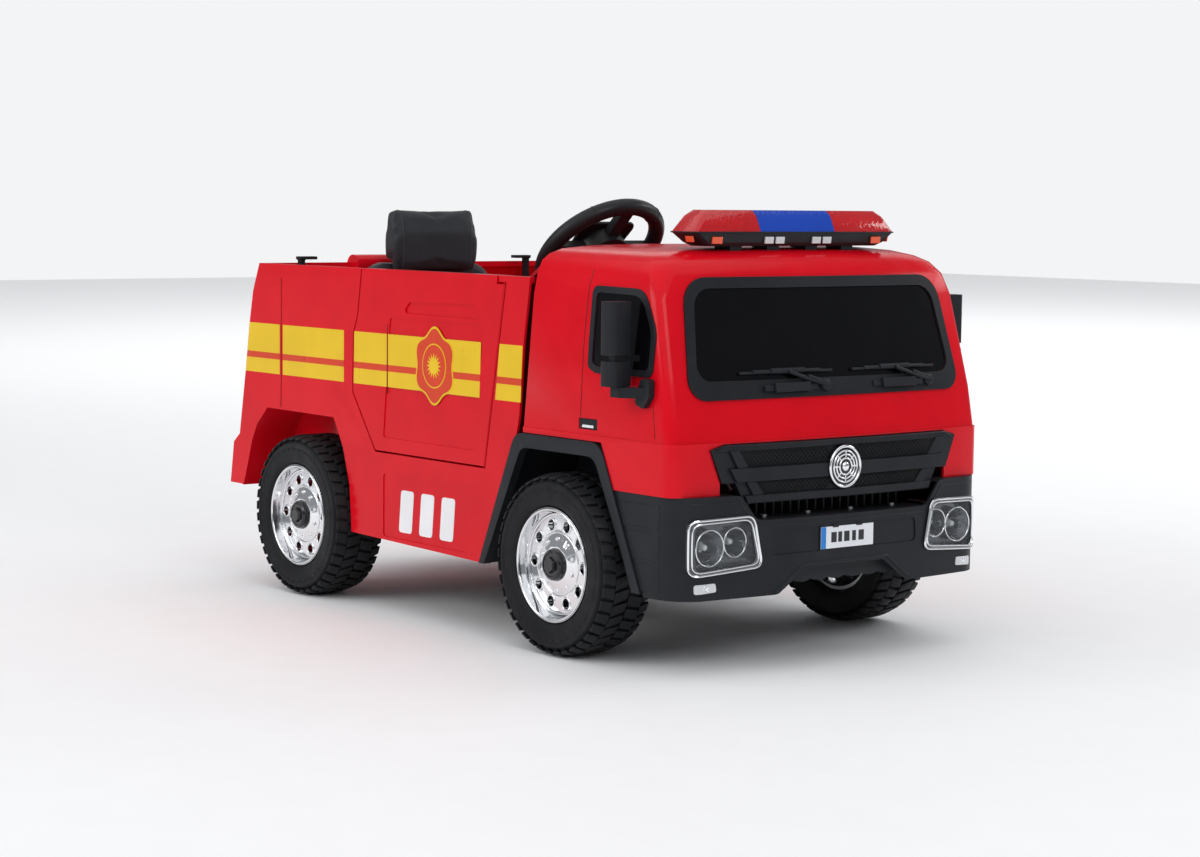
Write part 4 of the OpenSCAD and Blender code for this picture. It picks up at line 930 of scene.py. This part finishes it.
@dataclass
class FrontEnd:
    """The lamps, grille mesh, round badge, bumper ledges, wipers and plate."""

    bowls: tuple = ((0.232, 0.174, 0.0235), (0.188, 0.179, 0.0190))
    screen: BVHTree = field(default_factory=lambda: surface_of("windscreen"))
    holder: BVHTree = field(default_factory=lambda: surface_of("windscreen_frame"))

    def _spot(self, side: Side, y: float, z: float) -> Matrix:
        """A headlamp bowl's own frame, its Z axis to the front.

        Args:
            side: The side it is on.
            y: Its distance from the centre plane.
            z: Its height.

        Returns:
            The frame.
        """
        return Matrix.Translation((NOSE_X - 0.046, side.value * y, z)) @ TO_FRONT

    def _reflectors(self, side: Side) -> None:
        """A headlamp's two bowls, with their bright ribs and rims.

        Args:
            side: The side they are on.
        """
        bowls, ribs = bmesh.new(), bmesh.new()
        for y, z, r in self.bowls:
            spot = self._spot(side, y, z)
            profile = [(0.004 + (r - 0.004) * math.sqrt(t), 0.028 * t) for t in (i / 8 for i in range(9))]
            back = [(p + 0.0012, h - 0.0008) for p, h in reversed(profile)]
            lathe(bowls, profile + back + [profile[0]], spot, 36)
            for i in range(12):
                a = math.tau * i / 12
                rib = [spot @ Vector((p * math.cos(a) * 0.985, p * math.sin(a) * 0.985, h)) for p, h in profile[2:]]
                tube(ribs, rib, 0.0008, sides=6)
            bead(ribs, r + 0.0008, 0.0012, spot @ Matrix.Translation((0, 0, 0.028)), 40)
        Piece(f"headlamp_bowls_{side.word}", LAMP_BOWL, "root", "chrome_trim").make(bowls)
        Piece(f"headlamp_ribs_{side.word}", CHROME, "root", "chrome_trim").make(ribs)

    def _bezel(self, side: Side) -> None:
        """The two bright beads round a headlamp's lens.

        Args:
            side: The side they are on.
        """
        shell = surface_of(f"{side.word}_headlamp")
        rim = bmesh.new()
        for grow, thick in ((0.0, 0.0018), (-0.0042, 0.0013)):
            corners = rounded_outline([(0.2665 + grow, 0.1378 - grow), (0.1520 - grow, 0.1458 - grow),
                                       (0.1665 - grow, 0.2145 + grow), (0.2665 + grow, 0.2115 + grow)], 0.013, 6)
            line = [(CLEAR_X, side.value * y, z) for y, z in corners]
            path = laid(shell, line + line[:1], REARWARD, 0.0, 3)
            if len(path) > 8:
                tube(rim, path[:-1], thick, closed=True, sides=8)
        Piece(f"headlamp_bezel_{side.word}", CHROME, "root", "chrome_trim").make(rim)

    def _bulbs(self, side: Side) -> None:
        """The bulbs in a headlamp's bowls.

        Args:
            side: The side they are on.
        """
        bulbs = bmesh.new()
        for y, z, _ in self.bowls:
            lathe(bulbs, [(0.0, 0.021), (0.0035, 0.019), (0.005, 0.014), (0.005, 0.002), (0.0, 0.0)],
                  self._spot(side, y, z), 20)
        Piece(f"headlamp_bulbs_{side.word}", WHITE_LAMP, "root", "clear_lens").make(bulbs)

    def _fog_ring(self, side: Side) -> None:
        """The ring and stud on a fog lamp.

        Args:
            side: The side they are on.
        """
        ring = bmesh.new()
        face = surface_of("fog_lamps").ray_cast(Vector((CLEAR_X, side.value * 0.241, 0.121)), Vector(REARWARD))[0]
        if face is None:
            ring.free()
            return
        at = Matrix.Translation(face) @ TO_FRONT
        bead(ring, 0.0042, 0.0008, at, 24)
        lathe(ring, [(0.0, 0.0012), (0.0022, 0.0010), (0.0026, -0.001), (0.0, -0.001)], at, 16)
        Piece(f"fog_ring_{side.word}", CHROME, "root", "chrome_trim").make(ring)

    def _bowed(self, y: float, proud: float) -> float:
        """The grille face's place at a distance from the centre plane.

        Args:
            y: The distance.
            proud: How far in front of the face.

        Returns:
            Its X.
        """
        return NOSE_X - 0.014 - 0.013 * (y / SIDE_Y) ** 2 + proud

    def _bar(self, bm: bmesh.types.BMesh, half_w: tuple[float, float], low: float, high: float, proud: float,
             inner: float = 0.0, back: float = -0.001) -> None:
        """A band that follows the grille's bowed face, on both halves.

        Args:
            bm: The mesh it is added to.
            half_w: Its half width at the bottom and at the top.
            low: Its lower edge.
            high: Its upper edge.
            proud: How far it stands out.
            inner: Where it starts from the centre plane.
            back: How far its back lies behind the face.
        """
        steps = 14
        for side in (-1, 1):
            ys = [side * (inner + (half_w[0] - inner) * i / steps) for i in range(steps + 1)]
            outline = [(self._bowed(y, proud), y) for y in ys] + [(self._bowed(y, back), y) for y in reversed(ys)]
            old = set(bm.verts)
            prism(bm, outline, Plane.XY, low, high)
            ratio = half_w[1] / half_w[0]
            for v in set(bm.verts) - old:
                if abs(v.co.z - high) < 1e-6:
                    v.co.y = side * (inner + (abs(v.co.y) - inner) * (half_w[1] - inner) / (half_w[0] - inner))
        bmesh.ops.remove_doubles(bm, verts=bm.verts[:], dist=1e-6)

    def _grille_mesh(self) -> None:
        """A black sheet painted as the shade in the openings, with its diamond wire mesh, and the bars round them."""
        dark, bm, bars = bmesh.new(), bmesh.new(), bmesh.new()
        cell = 0.0036
        for low, high, foot, top in ((0.2775, 0.3005, 0.166, 0.184), (0.2405, 0.2585, 0.140, 0.156)):
            # Painted shade: a near-black band on the grille face stands in for the depth behind the wire mesh.
            self._bar(dark, (foot, top), low, high, 0.0004, 0.024)
            rows = int((high - low) / cell)
            for side in (-1, 1):
                for row in range(1, rows):
                    z = low + row * cell
                    reach = foot + (top - foot) * (z - low) / (high - low)
                    for column in range(8, int(reach / cell)):
                        if (row + column) % 2:
                            continue
                        y = side * column * cell
                        corners = [(y + cell, z), (y, z + cell), (y - cell, z), (y, z - cell)]
                        bm.faces.new([bm.verts.new((self._bowed(cy, 0.0012), cy, cz)) for cy, cz in corners])
        bmesh.ops.remove_doubles(bm, verts=bm.verts[:], dist=1e-5)
        piece = Piece("grille_mesh", TRIM_BLACK, "root", "black_trim").make(bm)
        wire = piece.modifiers.new("wire", "WIREFRAME")
        wire.thickness = 0.0012
        wire.use_replace = True
        Piece("grille_opening_shade", OPENING_SHADE_BLACK, "root", "black_trim").make(dark)
        self._bar(bars, (0.188, 0.200), 0.2585, 0.2775, 0.0052)
        self._bar(bars, (0.170, 0.174), 0.2300, 0.2405, 0.0048)
        self._bar(bars, (0.222, 0.204), 0.3005, 0.3088, 0.0030)
        for side in (-1, 1):
            for low, high, foot, top in ((0.2770, 0.3010, 0.166, 0.184), (0.2400, 0.2590, 0.140, 0.156)):
                outline = [(side * foot, low), (side * (foot + 0.020), low),
                           (side * (top + 0.016), high), (side * top, high)]
                prism(bars, outline, Plane.YZ, self._bowed(top, -0.002), self._bowed(top, 0.0042))
        Piece("grille_bars", TRIM_BLACK, "root", "black_trim", bevel=0.0016).make(bars)

    def _badge(self) -> None:
        """The gloss black boss with plain raised chrome rings."""
        spot = Matrix.Translation((NOSE_X - 0.0100, 0, 0.271)) @ TO_FRONT
        rings, boss = bmesh.new(), bmesh.new()
        lathe(boss, [(0.0, -0.0038), (0.0296, -0.0038), (0.0296, 0.0022), (0.026, 0.0030), (0.0, 0.0030)], spot, 72)
        Piece("badge_boss", GLOSS_BLACK, "root", "black_gloss", ("front_badge",)).make(boss)
        for radius, thick, height in ((0.0277, 0.0021, 0.0030), (0.0215, 0.0013, 0.0034), (0.0165, 0.0013, 0.0036),
                                      (0.0112, 0.0014, 0.0040)):
            bead(rings, radius, thick, spot @ Matrix.Translation((0, 0, height)), 72)
        lathe(rings, [(0.0, 0.0072), (0.004, 0.0066), (0.0062, 0.0046), (0.0064, 0.002), (0.0, 0.002)], spot, 40)
        for i in range(8):
            turn = Matrix.Rotation(math.tau * i / 8, 4, "Z")
            bar = box(rings, (0.0125, -0.0008, 0.0030), (0.0205, 0.0008, 0.0044))
            bmesh.ops.transform(rings, matrix=spot @ turn, verts=bar)
        Piece("badge_rings", CHROME, "root", "chrome_trim").make(rings)

    def _ribs(self) -> None:
        """The dark uprights seen under the grille."""
        bm = bmesh.new()
        for i in range(-9, 10):
            y = i * 0.0155
            box(bm, (NOSE_X - 0.062, y - 0.0016, 0.2075), (NOSE_X - 0.048, y + 0.0016, 0.2295))
        box(bm, (NOSE_X - 0.066, -0.150, 0.2072), (NOSE_X - 0.0615, 0.150, 0.232))
        Piece("lower_grille_ribs", TRIM_BLACK, "root", "black_trim", bevel=0.0005).make(bm)

    def _ledges(self) -> None:
        """The moulded lip round the bumper's lower opening and its side panels."""
        face = surface_of("front_bumper")
        bm = bmesh.new()
        lip = [(CLEAR_X, -0.128, 0.1085), (CLEAR_X, -0.116, 0.114), (CLEAR_X, -0.078, 0.1425), (CLEAR_X, 0.078, 0.1425),
               (CLEAR_X, 0.116, 0.114), (CLEAR_X, 0.128, 0.1085)]
        path = laid(face, lip, REARWARD, -0.0008, 10)
        if len(path) > 3:
            tube(bm, path, 0.0026, sides=10)
        upper = laid(face, [(CLEAR_X, -0.262, 0.2335), (CLEAR_X, -0.188, 0.2335), (CLEAR_X, -0.160, 0.1995),
                            (CLEAR_X, 0.160, 0.1995), (CLEAR_X, 0.188, 0.2335), (CLEAR_X, 0.262, 0.2335)],
                     REARWARD, -0.0006, 12)
        if len(upper) > 3:
            tube(bm, upper, 0.0013, sides=8)
        Piece("bumper_lips", TRIM_BLACK, "root", "black_trim").make(bm)
        for side in Side:
            panels = bmesh.new()
            for low, high in ((0.114, 0.150), (0.156, 0.192), (0.198, 0.229)):
                start = side.value * CLEAR_Y
                lean = [0.502 - 0.46 * (z - 0.105) for z in (low, high)]
                loop = laid(face, [(lean[0], start, low), (0.532, start, low), (0.532, start, high),
                                   (lean[1], start, high), (lean[0], start, low)], (0, -side.value, 0), -0.0004, 6)
                if len(loop) > 6:
                    tube(panels, loop[:-1], 0.0011, closed=True, sides=8)
            if panels.verts:
                Piece(f"bumper_panels_{side.word}", TRIM_BLACK, "root", "black_trim").make(panels)
            else:
                panels.free()

    def _on_glass(self, y: float, z: float, lift: float) -> Vector:
        """A point just clear of the windscreen, or of its frame below it.

        Args:
            y: The point's distance to the left of the centre plane.
            z: Its height.
            lift: How far in front of the surface it is.

        Returns:
            The point.
        """
        for surface in (self.screen, self.holder):
            hit = surface.ray_cast(Vector((CLEAR_X, y, z)), Vector(REARWARD))[0]
            if hit is not None:
                return hit + Vector((lift, 0, 0))
        raise ValueError(f"nothing behind y {y}, z {z}")

    def _wipers(self) -> None:
        """Two wipers: jointed blade, slim arm, pivot nut and its housing on the lower frame."""
        bm = bmesh.new()
        for y in (-0.084, 0.118):
            blade = [self._on_glass(y + s, 0.4015, 0.0034) for s in (-0.082, -0.060, -0.030, 0.0, 0.030, 0.060, 0.082)]
            tube(bm, blade, 0.0022, sides=8)
            tube(bm, [p + Vector((0.0012, 0, 0.0016)) for p in blade[2:5]], 0.0042, sides=10)
            tube(bm, [p + Vector((0.0008, 0, 0.0010)) for p in blade[1:6]], 0.0030, sides=8)
            foot = self.holder.ray_cast(Vector((CLEAR_X, y + 0.066, 0.382)), Vector(REARWARD))[0]
            lean = Matrix.Rotation(math.radians(76), 4, "Y")
            lathe(bm, [(0.0, -0.0004), (0.0088, -0.0004), (0.0086, 0.004), (0.0060, 0.0064), (0.0, 0.0070)],
                  Matrix.Translation(foot) @ lean, 28)
            knee = blade[3].lerp(foot, 0.5) + Vector((0.0045, 0, 0))
            tube(bm, [foot + Vector((0.005, 0, 0.001)), knee, blade[3] + Vector((0.0045, 0, 0.001))], 0.0030, sides=8)
            tube(bm, [foot + Vector((0.005, 0.0, 0.004)), knee + Vector((0.0008, 0, 0.004))], 0.0022, sides=8)
            base = self.holder.ray_cast(Vector((CLEAR_X, y + 0.004, 0.3805)), Vector(REARWARD))[0]
            turn = Matrix.Rotation(math.radians(-14), 4, "Y")
            low = base + Vector((-0.0015, -0.032, -0.006))
            box(bm, tuple(low), tuple(low + Vector((0.0085, 0.064, 0.0125))), turn)
            for shift in (-0.040, 0.040):
                low = base + Vector((-0.0015, shift - 0.008, -0.004))
                box(bm, tuple(low), tuple(low + Vector((0.005, 0.016, 0.008))), turn)
        Piece("wiper_set", TRIM_BLACK, "root", "black_trim", ("wipers",), 0.0008, 2).make(bm)

    def _plate(self) -> None:
        """The plate's blue end, plain dark bars and mounting studs."""
        x = NOSE_X
        blue, ink, studs = bmesh.new(), bmesh.new(), bmesh.new()
        box(blue, (x - 0.0004, -0.0488, 0.1612), (x + 0.0003, -0.0398, 0.1908))
        for start, wide in ((-0.030, 0.010), (-0.017, 0.007), (-0.006, 0.010), (0.009, 0.007), (0.021, 0.010)):
            box(ink, (x - 0.0004, start, 0.1690), (x + 0.0002, start + wide, 0.1830))
        for y in (-0.022, 0.022):
            box(studs, (x - 0.004, y - 0.0055, 0.1895), (x + 0.0012, y + 0.0055, 0.1940))
        Piece("plate_end", PLATE_BLUE, "root", "plate").make(blue)
        Piece("plate_bars", PLATE_INK, "root", "plate").make(ink)
        Piece("plate_studs", TRIM_BLACK, "root", "black_trim", bevel=0.0008).make(studs)

    def build(self) -> None:
        """Makes the front end's pieces."""
        for side in Side:
            self._reflectors(side)
            self._bezel(side)
            self._bulbs(side)
            self._fog_ring(side)
        self._grille_mesh()
        self._badge()
        self._ribs()
        self._ledges()
        self._wipers()
        self._plate()


# ---- light bar --------------------------------------------------------------------------------


@dataclass
class LightBar:
    """The marker lamps, joint line and reflectors of the roof light bar."""

    x: float = 0.4515
    half_depth: float = 0.028

    def build(self) -> None:
        """Makes the bar's small pieces."""
        amber, white, seam = bmesh.new(), bmesh.new(), bmesh.new()
        lean = Matrix.Rotation(math.radians(8), 4, "Y")
        face = self.x + self.half_depth
        for bm, half, places in ((amber, 0.009, (-0.148, 0.148)), (white, 0.0078, (-0.054, -0.034, 0.034, 0.054))):
            for y in places:
                box(bm, (face - 0.0016, y - half, 0.5725), (face + 0.0012, y + half, 0.5820), lean)
        for y in (-0.1805, 0.1805):
            box(amber, (self.x + 0.002, min(y, y + math.copysign(0.002, y)), 0.5745),
                (self.x + 0.018, max(y, y + math.copysign(0.002, y)), 0.5830),
                Matrix.Rotation(math.radians(-14 if y > 0 else 14), 4, "X"))
        Piece("bar_amber_lamps", AMBER_LAMP, "root", "amber_lens", ("lightbar_lamps",), 0.0007).make(amber)
        Piece("bar_white_lamps", WHITE_LAMP, "root", "amber_lens", bevel=0.0007).make(white)
        outline = rounded_outline([(self.x - 0.0283, -0.1868), (self.x + 0.0283, -0.1868), (self.x + 0.0283, 0.1868),
                                   (self.x - 0.0283, 0.1868)], 0.009, 5)
        tube(seam, [Vector((u, v, 0.588)) for u, v in outline], 0.0010, closed=True, sides=8)
        Piece("bar_joint_line", TRIM_BLACK, "root", "black_trim").make(seam)


# ---- seat -------------------------------------------------------------------------------------


@dataclass
class SeatPads:
    """The padded seat: cushion, backrest and headrest, each swollen as stuffed leather."""

    voxel: float = 0.005
    cloth_frames: int = 20
    seam_r: float = 0.0011

    def _swell(self, node: str, name: str, shrink: float, cap: float,
               rounds: int, barrel: float = 0.0) -> bpy.types.Object:
        """Swells a copy of a soft node with a short cloth run.

        Args:
            node: The soft node.
            name: The pad's name.
            shrink: How much smaller the start shape is, per side, in metres.
            cap: How far a point may move.
            rounds: Smoothing passes before it swells.
            barrel: How much narrower its top and bottom are than its middle.

        Returns:
            The pad.
        """
        bm = bmesh.new()
        bm.from_mesh(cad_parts[node].data)
        bmesh.ops.remove_doubles(bm, verts=bm.verts[:], dist=1e-5)
        low, high = (Vector(c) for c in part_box(node))
        middle = (low + high) / 2
        size = high - low
        for v in bm.verts:
            for i in range(3):
                v.co[i] = middle[i] + (v.co[i] - middle[i]) * (1 - 2 * shrink / size[i])
        obj = placed(bm, name)
        remesh = obj.modifiers.new("grid", "REMESH")
        remesh.mode = "VOXEL"
        remesh.voxel_size = self.voxel
        self._apply(obj)
        bm = bmesh.new()
        bm.from_mesh(obj.data)
        for _ in range(rounds):
            bmesh.ops.smooth_vert(bm, verts=bm.verts[:], factor=0.5, use_axis_x=True, use_axis_y=True, use_axis_z=True)
        bm.to_mesh(obj.data)
        bm.free()
        for v in obj.data.vertices:
            reach = (v.co.z - middle.z) / (size.z / 2)
            v.co.y *= 1 + 0.025 * (barrel > 0) - barrel * reach * reach
        start = [v.co.copy() for v in obj.data.vertices]
        cloth = obj.modifiers.new("stuffing", "CLOTH")
        cloth.settings.use_pressure = True
        cloth.settings.uniform_pressure_force = 4
        cloth.settings.effector_weights.gravity = 0
        scene = bpy.context.scene
        for number in range(1, self.cloth_frames + 1):
            scene.frame_set(number)
        self._apply(obj)
        scene.frame_set(1)
        for v, at in zip(obj.data.vertices, start):
            move = v.co - at
            if move.length > cap:
                v.co = at + move.normalized() * cap
        for v in obj.data.vertices:
            for i in range(3):
                v.co[i] = min(max(v.co[i], low[i] - 0.001 * (i == 1)), high[i] + 0.001 * (i == 1))
        for polygon in obj.data.polygons:
            polygon.use_smooth = True
        finer = obj.modifiers.new("finer", "SUBSURF")
        finer.levels = 1
        finer.render_levels = 1
        return obj

    def _apply(self, obj: bpy.types.Object) -> None:
        """Bakes an object's modifiers into its mesh.

        Args:
            obj: The object.
        """
        graph = bpy.context.evaluated_depsgraph_get()
        graph.update()
        baked = bpy.data.meshes.new_from_object(obj.evaluated_get(graph))
        obj.modifiers.clear()
        obj.data = baked

    def _piping(self, obj: bpy.types.Object, name: str, loops: list[list[tuple[float, float, float]]],
                aims: list[tuple[float, float, float]]) -> None:
        """Sewn seams laid on a pad.

        Args:
            obj: The pad.
            name: The seams' name.
            loops: Each seam's line, outside the pad.
            aims: The direction each is dropped in.
        """
        graph = bpy.context.evaluated_depsgraph_get()
        tree = BVHTree.FromObject(obj, graph)
        bm = bmesh.new()
        for line, aim in zip(loops, aims):
            path = laid(tree, line, aim, -0.0004, 16)
            if len(path) > 3:
                tube(bm, path, self.seam_r, sides=8)
        Piece(name, STITCH, "root", "seat_leather").make(bm)

    def build(self) -> None:
        """Makes the three pads and their seams."""
        cushion = self._swell("seat_cushion", "cushion_pad", 0.004, 0.008, 4)
        back = self._swell("seat_backrest", "backrest_pad", 0.002, 0.005, 3)
        head = self._swell("headrest", "headrest_pad", 0.0005, 0.003, 5, 0.055)
        for obj, node in ((cushion, "seat_cushion"), (back, "seat_backrest"), (head, "headrest")):
            Piece(obj.name, LEATHER, "root", "seat_leather", (node,)).dress(obj)
        self._piping(head, "headrest_seams", [
            [(-0.30, s * 0.068, 0.512), (-0.30, s * 0.068, 0.600)] for s in (-1, 1)] + [
            [(-0.455, s * 0.068, 0.70), (-0.405, s * 0.068, 0.70)] for s in (-1, 1)],
            [REARWARD] * 2 + [DOWNWARD] * 2)
        self._piping(cushion, "cushion_seams", [
            [(-0.39, s * 0.085, 0.45), (-0.17, s * 0.085, 0.45)] for s in (-1, 1)], [DOWNWARD] * 2)
        self._piping(back, "backrest_seams", [
            [(-0.30, s * 0.080, 0.345), (-0.30, s * 0.080, 0.50)] for s in (-1, 1)], [REARWARD] * 2)


# ---- cockpit ----------------------------------------------------------------------------------


@dataclass
class Cockpit:
    """The steering wheel's grips and pad, and the mirrors' glass."""

    centre: tuple[float, float, float] = (0.033, 0.0, 0.555)
    tilt: float = 43.0

    @property
    def place(self) -> Matrix:
        """The wheel's frame, its Z axis down the column."""
        return Matrix.Translation(self.centre) @ Matrix.Rotation(math.radians(180 - self.tilt), 4, "Y")

    def _wheel_trim(self) -> None:
        """The grips' end beads and the raised pad on the hub."""
        bm = bmesh.new()
        for turn in (35, 145, 215, 325):
            a = math.radians(turn)
            spot = Matrix.Translation((0.095 * math.cos(a), 0.095 * math.sin(a), 0)) \
                @ Matrix.Rotation(a, 4, "Z") @ Matrix.Rotation(math.radians(90), 4, "X")
            bead(bm, 0.0122, 0.0011, self.place @ spot, 28)
        pad = rounded_outline([(-0.046, -0.052), (0.030, -0.045), (0.030, 0.045), (-0.046, 0.052)], 0.016, 6)
        lip = bmesh.new()
        prism(lip, pad, Plane.XY, -0.0165, -0.0095)
        bmesh.ops.transform(lip, matrix=self.place, verts=lip.verts[:])
        Piece("wheel_pad", GRIP_BLACK, "steering", "wheel_grip", bevel=0.003).make(lip)
        Piece("wheel_grip_beads", GRIP_BLACK, "steering", "wheel_grip").make(bm)

    def _mirror_glass(self, side: Side) -> None:
        """The bright panes in a mirror's two recesses.

        Args:
            side: The side it is on.
        """
        bm = bmesh.new()
        x = FRONT_AXLE_X + 0.152 - 0.0132
        near, far = sorted((side.value * (SIDE_Y + 0.0115), side.value * (SIDE_Y + 0.0395)))
        box(bm, (x, near, 0.4315), (x + 0.0012, far, 0.4915))
        box(bm, (x, near, 0.3895), (x + 0.0012, far, 0.4125))
        Piece(f"mirror_glass_{side.word}", CHROME, f"{side.word}_mirror", "chrome_trim", bevel=0.0003).make(bm)

    def _door_pull(self, side: Side) -> None:
        """The cab's dark door pull with its small bright bar.

        Args:
            side: The side it is on.
        """
        y = side.value * (SIDE_Y - 0.0031)
        near, far = sorted((y, y + side.value * 0.0022))
        pocket, bar = bmesh.new(), bmesh.new()
        prism(pocket, rounded_outline([(0.3575, 0.3195), (0.3975, 0.3195), (0.3975, 0.3335), (0.3575, 0.3335)],
                                      0.003), Plane.XZ, near, far)
        near, far = sorted((y + side.value * 0.0022, y + side.value * 0.0036))
        prism(bar, rounded_outline([(0.3640, 0.3215), (0.3910, 0.3215), (0.3890, 0.3255), (0.3660, 0.3255)],
                                   0.0015), Plane.XZ, near, far)
        Piece(f"door_pull_{side.word}", TRIM_BLACK, "root", "black_trim", bevel=0.0006).make(pocket)
        Piece(f"door_pull_bar_{side.word}", CHROME, "root", "chrome_trim", bevel=0.0004).make(bar)

    def build(self) -> None:
        """Makes the cockpit's pieces."""
        self._wheel_trim()
        for side in Side:
            self._mirror_glass(side)
            self._door_pull(side)


# ---- studio -----------------------------------------------------------------------------------


@dataclass
class Studio:
    """The pale floor, the soft lights and the camera."""

    azimuth: float = 51.926
    pitch: float = 5.158
    roll: float = 0.613
    eye: tuple[float, float, float] = (3.1014, -2.3998, 0.6318)
    lens: float = 76.44

    def _camera(self) -> None:
        """Sets the camera on the truck's front right."""
        a, e, r = (math.radians(v) for v in (self.azimuth, self.pitch, self.roll))
        back = Vector((math.sin(a) * math.cos(e), -math.cos(a) * math.cos(e), math.sin(e)))
        across = Vector((math.cos(a), math.sin(a), 0))
        up = back.cross(across)
        right = across * math.cos(r) + up * math.sin(r)
        top = up * math.cos(r) - across * math.sin(r)
        data = bpy.data.cameras.new("studio_camera")
        data.lens = self.lens
        data.sensor_width = 36
        data.sensor_fit = "HORIZONTAL"
        camera = bpy.data.objects.new("studio_camera", data)
        turn = Matrix((right, top, back)).transposed().to_4x4()
        camera.matrix_world = Matrix.Translation(self.eye) @ turn
        bpy.context.scene.collection.objects.link(camera)
        bpy.context.scene.camera = camera

    def _light(self, name: str, at: tuple[float, float, float], target: tuple[float, float, float],
               size: tuple[float, float], power: float) -> None:
        """A soft rectangular light.

        Args:
            name: The light's name.
            at: Where it stands.
            target: What it points at.
            size: Its width and height.
            power: Its power in watts.
        """
        data = bpy.data.lights.new(name, "AREA")
        data.shape = "RECTANGLE"
        data.size, data.size_y = size
        data.energy = power
        lamp = bpy.data.objects.new(name, data)
        way = Vector(target) - Vector(at)
        lamp.matrix_world = Matrix.Translation(at) @ way.to_track_quat("-Z", "Y").to_matrix().to_4x4()
        bpy.context.scene.collection.objects.link(lamp)

    def build(self) -> None:
        """Sets up the floor, the lights and the camera."""
        bm = bmesh.new()
        bmesh.ops.create_grid(bm, x_segments=8, y_segments=8, size=14.0)
        floor = placed(bm, "studio_floor")
        floor.data.materials.append(STUDIO_FLOOR.material())
        world = bpy.data.worlds.new("studio_air")
        world.use_nodes = True
        tree = world.node_tree
        air = tree.nodes["Background"]
        air.inputs["Color"].default_value = (0.90, 0.93, 0.97, 1)
        air.inputs["Strength"].default_value = 0.30
        backdrop = tree.nodes.new("ShaderNodeBackground")
        backdrop.inputs["Color"].default_value = (0.90, 0.905, 0.915, 1)
        seen = tree.nodes.new("ShaderNodeLightPath")
        mix = tree.nodes.new("ShaderNodeMixShader")
        tree.links.new(seen.outputs["Is Camera Ray"], mix.inputs["Fac"])
        tree.links.new(air.outputs["Background"], mix.inputs[1])
        tree.links.new(backdrop.outputs["Background"], mix.inputs[2])
        tree.links.new(mix.outputs["Shader"], tree.nodes["World Output"].inputs["Surface"])
        bpy.context.scene.world = world
        bpy.context.scene.view_settings.view_transform = "Standard"
        sun = bpy.data.lights.new("ceiling_glow", "SUN")
        sun.energy = 1.55
        sun.angle = math.radians(110)
        glow = bpy.data.objects.new("ceiling_glow", sun)
        glow.rotation_euler = (math.radians(14), math.radians(8), 0)
        bpy.context.scene.collection.objects.link(glow)
        self._light("side_light", (-0.8, -3.4, 1.8), (0, 0, 0.35), (2.6, 1.2), 34)
        self._light("front_light", (3.6, -0.9, 2.2), (0.3, 0, 0.3), (1.6, 1.2), 22)
        self._light("far_light", (1.2, 3.6, 2.0), (0.2, 0, 0.4), (2.2, 0.8), 24)
        self._light("floor_light", (-4.5, 5.5, 4.0), (-5.0, 6.5, 0), (8.0, 8.0), 190)
        self._camera()


def main() -> None:
    """Builds the truck's pieces in order and reports each."""
    logging.basicConfig(level=logging.INFO, format="%(message)s")
    parts = [Studio(), Shells(), SideGraphics()]
    for end, axle_x in (("front", FRONT_AXLE_X), ("rear", REAR_AXLE_X)):
        parts += [Wheel(end, side, axle_x) for side in Side]
    parts += [FrontEnd(), LightBar(), SeatPads(), Cockpit()]
    for part in parts:
        part.build()
        LOG.info("built %s", type(part).__name__)


if __name__ == "__main__":
    main()
